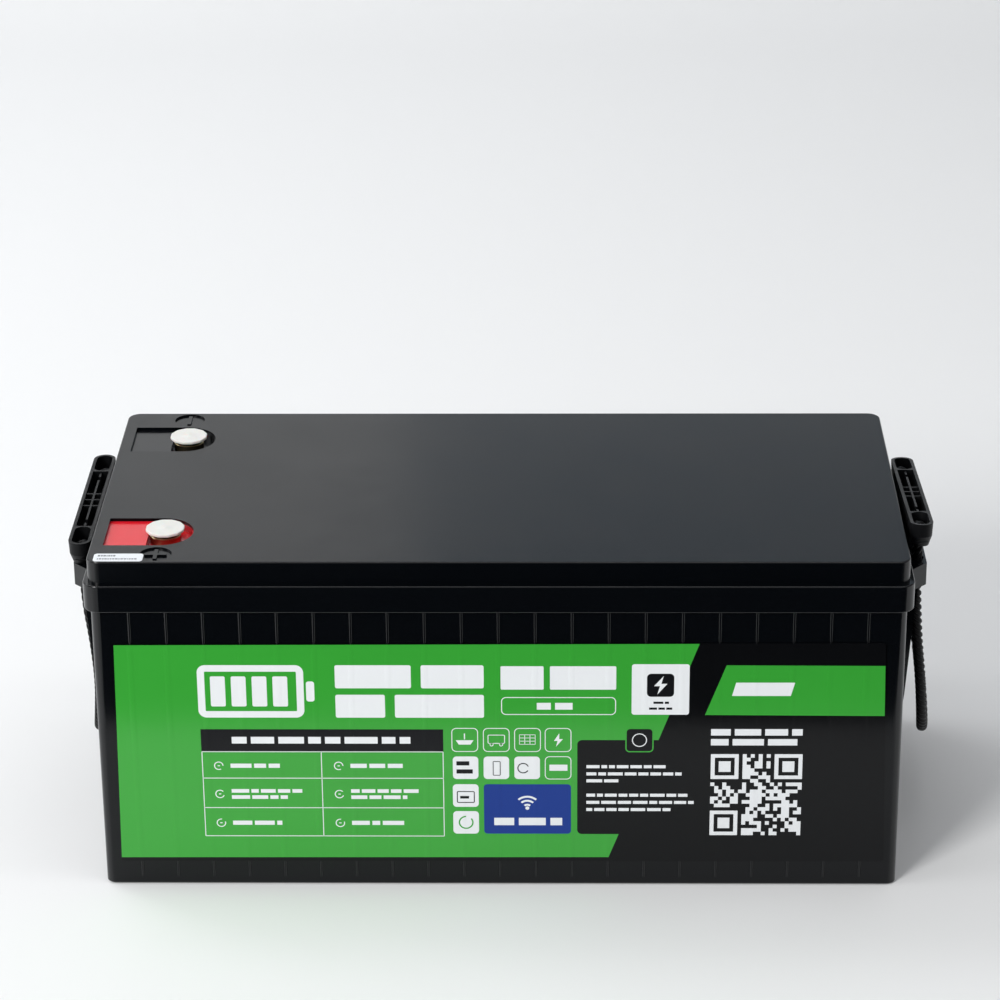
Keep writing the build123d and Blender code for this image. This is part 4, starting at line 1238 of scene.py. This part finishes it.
class Studio:
    """A pale floor that sweeps up into a pale wall, soft lamps, and the camera."""

    LENS = 122.29
    SENSOR = 36.0
    EYE = (0.03725, -1.94633, 1.07355)
    YAW, PITCH, ROLL = -0.0194, 0.4175, 0.0081
    NEAREST, FARTHEST = 0.05, 60.0
    FLOOR_REACH, SWEEP_RADIUS, WALL_Y, WALL_TOP = 6000.0, 900.0, 2600.0, 3200.0
    FRONT_FLAG = (-345.0, 2200.0, -3200.0, -330.0, 1.0)      # lower and upper x, lower and upper y, z
    FAR_FLAG = (-150.0, 2600.0, 900.0, 2600.0, 2000.0)       # lower and upper x, lower and upper z, y
    ROOM_COLOUR, ROOM_LIGHT = "#f5f6f8", 0.41
    LAMPS = (
        SoftBox("key_front_left", (-2.0, -2.8, 1.95), (0.0, 0.0, 0.1), 1.1, 1.1, 106.0, "#fffefc"),
        SoftBox("side_left", (-2.2, 0.3, 1.2), (-0.1, 0.0, 0.12), 0.9, 0.9, 10.0, "#fbfdff"),
        SoftBox("wall_wash", (-1.35, 0.9, 2.3), (-0.65, 2.4, 0.7), 1.8, 1.0, 24.0, "#fdfeff"),
        SoftBox("overhead_strip", (-0.1, -0.3, 1.9), (-0.1, -0.1, 0.2), 2.2, 0.3, 8.0, "#ffffff"),
    )

    def __init__(self, maker: MaterialMaker) -> None:
        """
        Args:
            maker: gives the materials.
        """
        self._maker = maker

    def _sweep(self) -> None:
        """Makes the floor and wall as one sheet, flat, then a quarter circle, then upright."""
        radius, back, tall = self.SWEEP_RADIUS, self.WALL_Y, self.WALL_TOP
        turns = np.radians(np.linspace(0, 90, 25))
        profile = [(-self.FLOOR_REACH, 0.0), (-3000.0, 0.0), (-800.0, 0.0), (600.0, 0.0)]
        profile += [(back - radius + radius * math.sin(t), radius - radius * math.cos(t)) for t in turns]
        profile += [(back, tall)]
        across = np.linspace(-self.FLOOR_REACH, self.FLOOR_REACH, 9)
        rows = np.array([[(x, y, z) for x in across] for y, z in profile])
        draft = Draft()
        draft.grid(rows, closed=False)
        sheet = draft.build("studio_sweep", self._maker.make(FLOOR))

    def _flags(self) -> None:
        """Hangs a black card in front and a grey one behind, which show in the gloss and nowhere else."""
        left, right, near, far, height = self.FRONT_FLAG
        front = [(left, near, height), (right, near, height), (right, far, height), (left, far, height)]
        left, right, foot, top, depth = self.FAR_FLAG
        behind = [(left, depth, foot), (right, depth, foot), (right, depth, top), (left, depth, top)]
        for name, corners, finish in (("flag_front", front, CARD), ("flag_far", behind, CARD_GREY)):
            draft = Draft()
            draft.add(np.array(corners), [(0, 1, 2, 3)])
            card = draft.build(name, self._maker.make(finish), smooth=False)
            card.visible_camera = card.visible_diffuse = card.visible_shadow = False

    def _lamps(self) -> None:
        """Hangs the soft boxes and sets the even light of the room."""
        for box in self.LAMPS:
            lamp = bpy.data.lights.new(box.name, "AREA")
            lamp.shape = "RECTANGLE"
            lamp.size, lamp.size_y = box.width, box.height
            lamp.energy = box.power
            lamp.color = linear(box.colour)[:3]
            holder = bpy.data.objects.new(box.name, lamp)
            holder.location = box.place
            holder.rotation_euler = (Vector(box.aim) - Vector(box.place)).to_track_quat("-Z", "Y").to_euler()
            bpy.context.scene.collection.objects.link(holder)
        world = bpy.data.worlds.new("room")
        world.use_nodes = True
        backdrop = world.node_tree.nodes["Background"]
        backdrop.inputs["Color"].default_value = linear(self.ROOM_COLOUR)
        backdrop.inputs["Strength"].default_value = self.ROOM_LIGHT
        bpy.context.scene.world = world

    def _camera(self) -> None:
        """Sets up the camera from its place and its three turns."""
        yaw, pitch, roll = self.YAW, self.PITCH, self.ROLL
        ahead = Vector((math.sin(yaw) * math.cos(pitch), math.cos(yaw) * math.cos(pitch), -math.sin(pitch)))
        level = Vector((math.cos(yaw), -math.sin(yaw), 0.0))
        down = ahead.cross(level)
        right = math.cos(roll) * level + math.sin(roll) * down
        under = -math.sin(roll) * level + math.cos(roll) * down
        lens = bpy.data.cameras.new("camera")
        lens.lens, lens.sensor_width = self.LENS, self.SENSOR
        lens.clip_start, lens.clip_end = self.NEAREST, self.FARTHEST
        holder = bpy.data.objects.new("camera", lens)
        turn = Matrix((right, -under, -ahead)).transposed().to_4x4()
        holder.matrix_world = Matrix.Translation(self.EYE) @ turn
        bpy.context.scene.collection.objects.link(holder)
        bpy.context.scene.camera = holder

    def build(self) -> None:
        """Makes the room."""
        self._sweep()
        self._flags()
        self._lamps()
        self._camera()
        bpy.context.scene.view_settings.view_transform = "Standard"


class Battery:
    """The whole object: finishes on the CAD parts and the finer pieces over them."""

    def __init__(self, nodes: dict[str, bpy.types.Object], maker: MaterialMaker) -> None:
        """
        Args:
            nodes: the CAD parts by name.
            maker: gives the materials.
        """
        self._nodes = nodes
        self._maker = maker

    def build(self) -> None:
        """Gives each CAD part its finish and makes every finer piece."""
        for name, part in self._nodes.items():
            part.data.materials.clear()
            part.data.materials.append(self._maker.make(CAD_FINISHES[name]))
        FrontLabel(self._maker).build()
        SerialSticker(self._maker).build()
        for pole in ("positive", "negative"):
            ThumbCap(pole, self._maker).build()
        for rope in ROPES:
            Handle(rope, self._maker).build()


def main() -> None:
    """Builds the battery and its room."""
    logging.basicConfig(level=logging.INFO, format="%(name)s: %(message)s")
    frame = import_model()
    maker = MaterialMaker()
    Battery(frame["nodes"], maker).build()
    Studio(maker).build()
    bpy.context.view_layer.update()


if __name__ == "__main__":
    main()
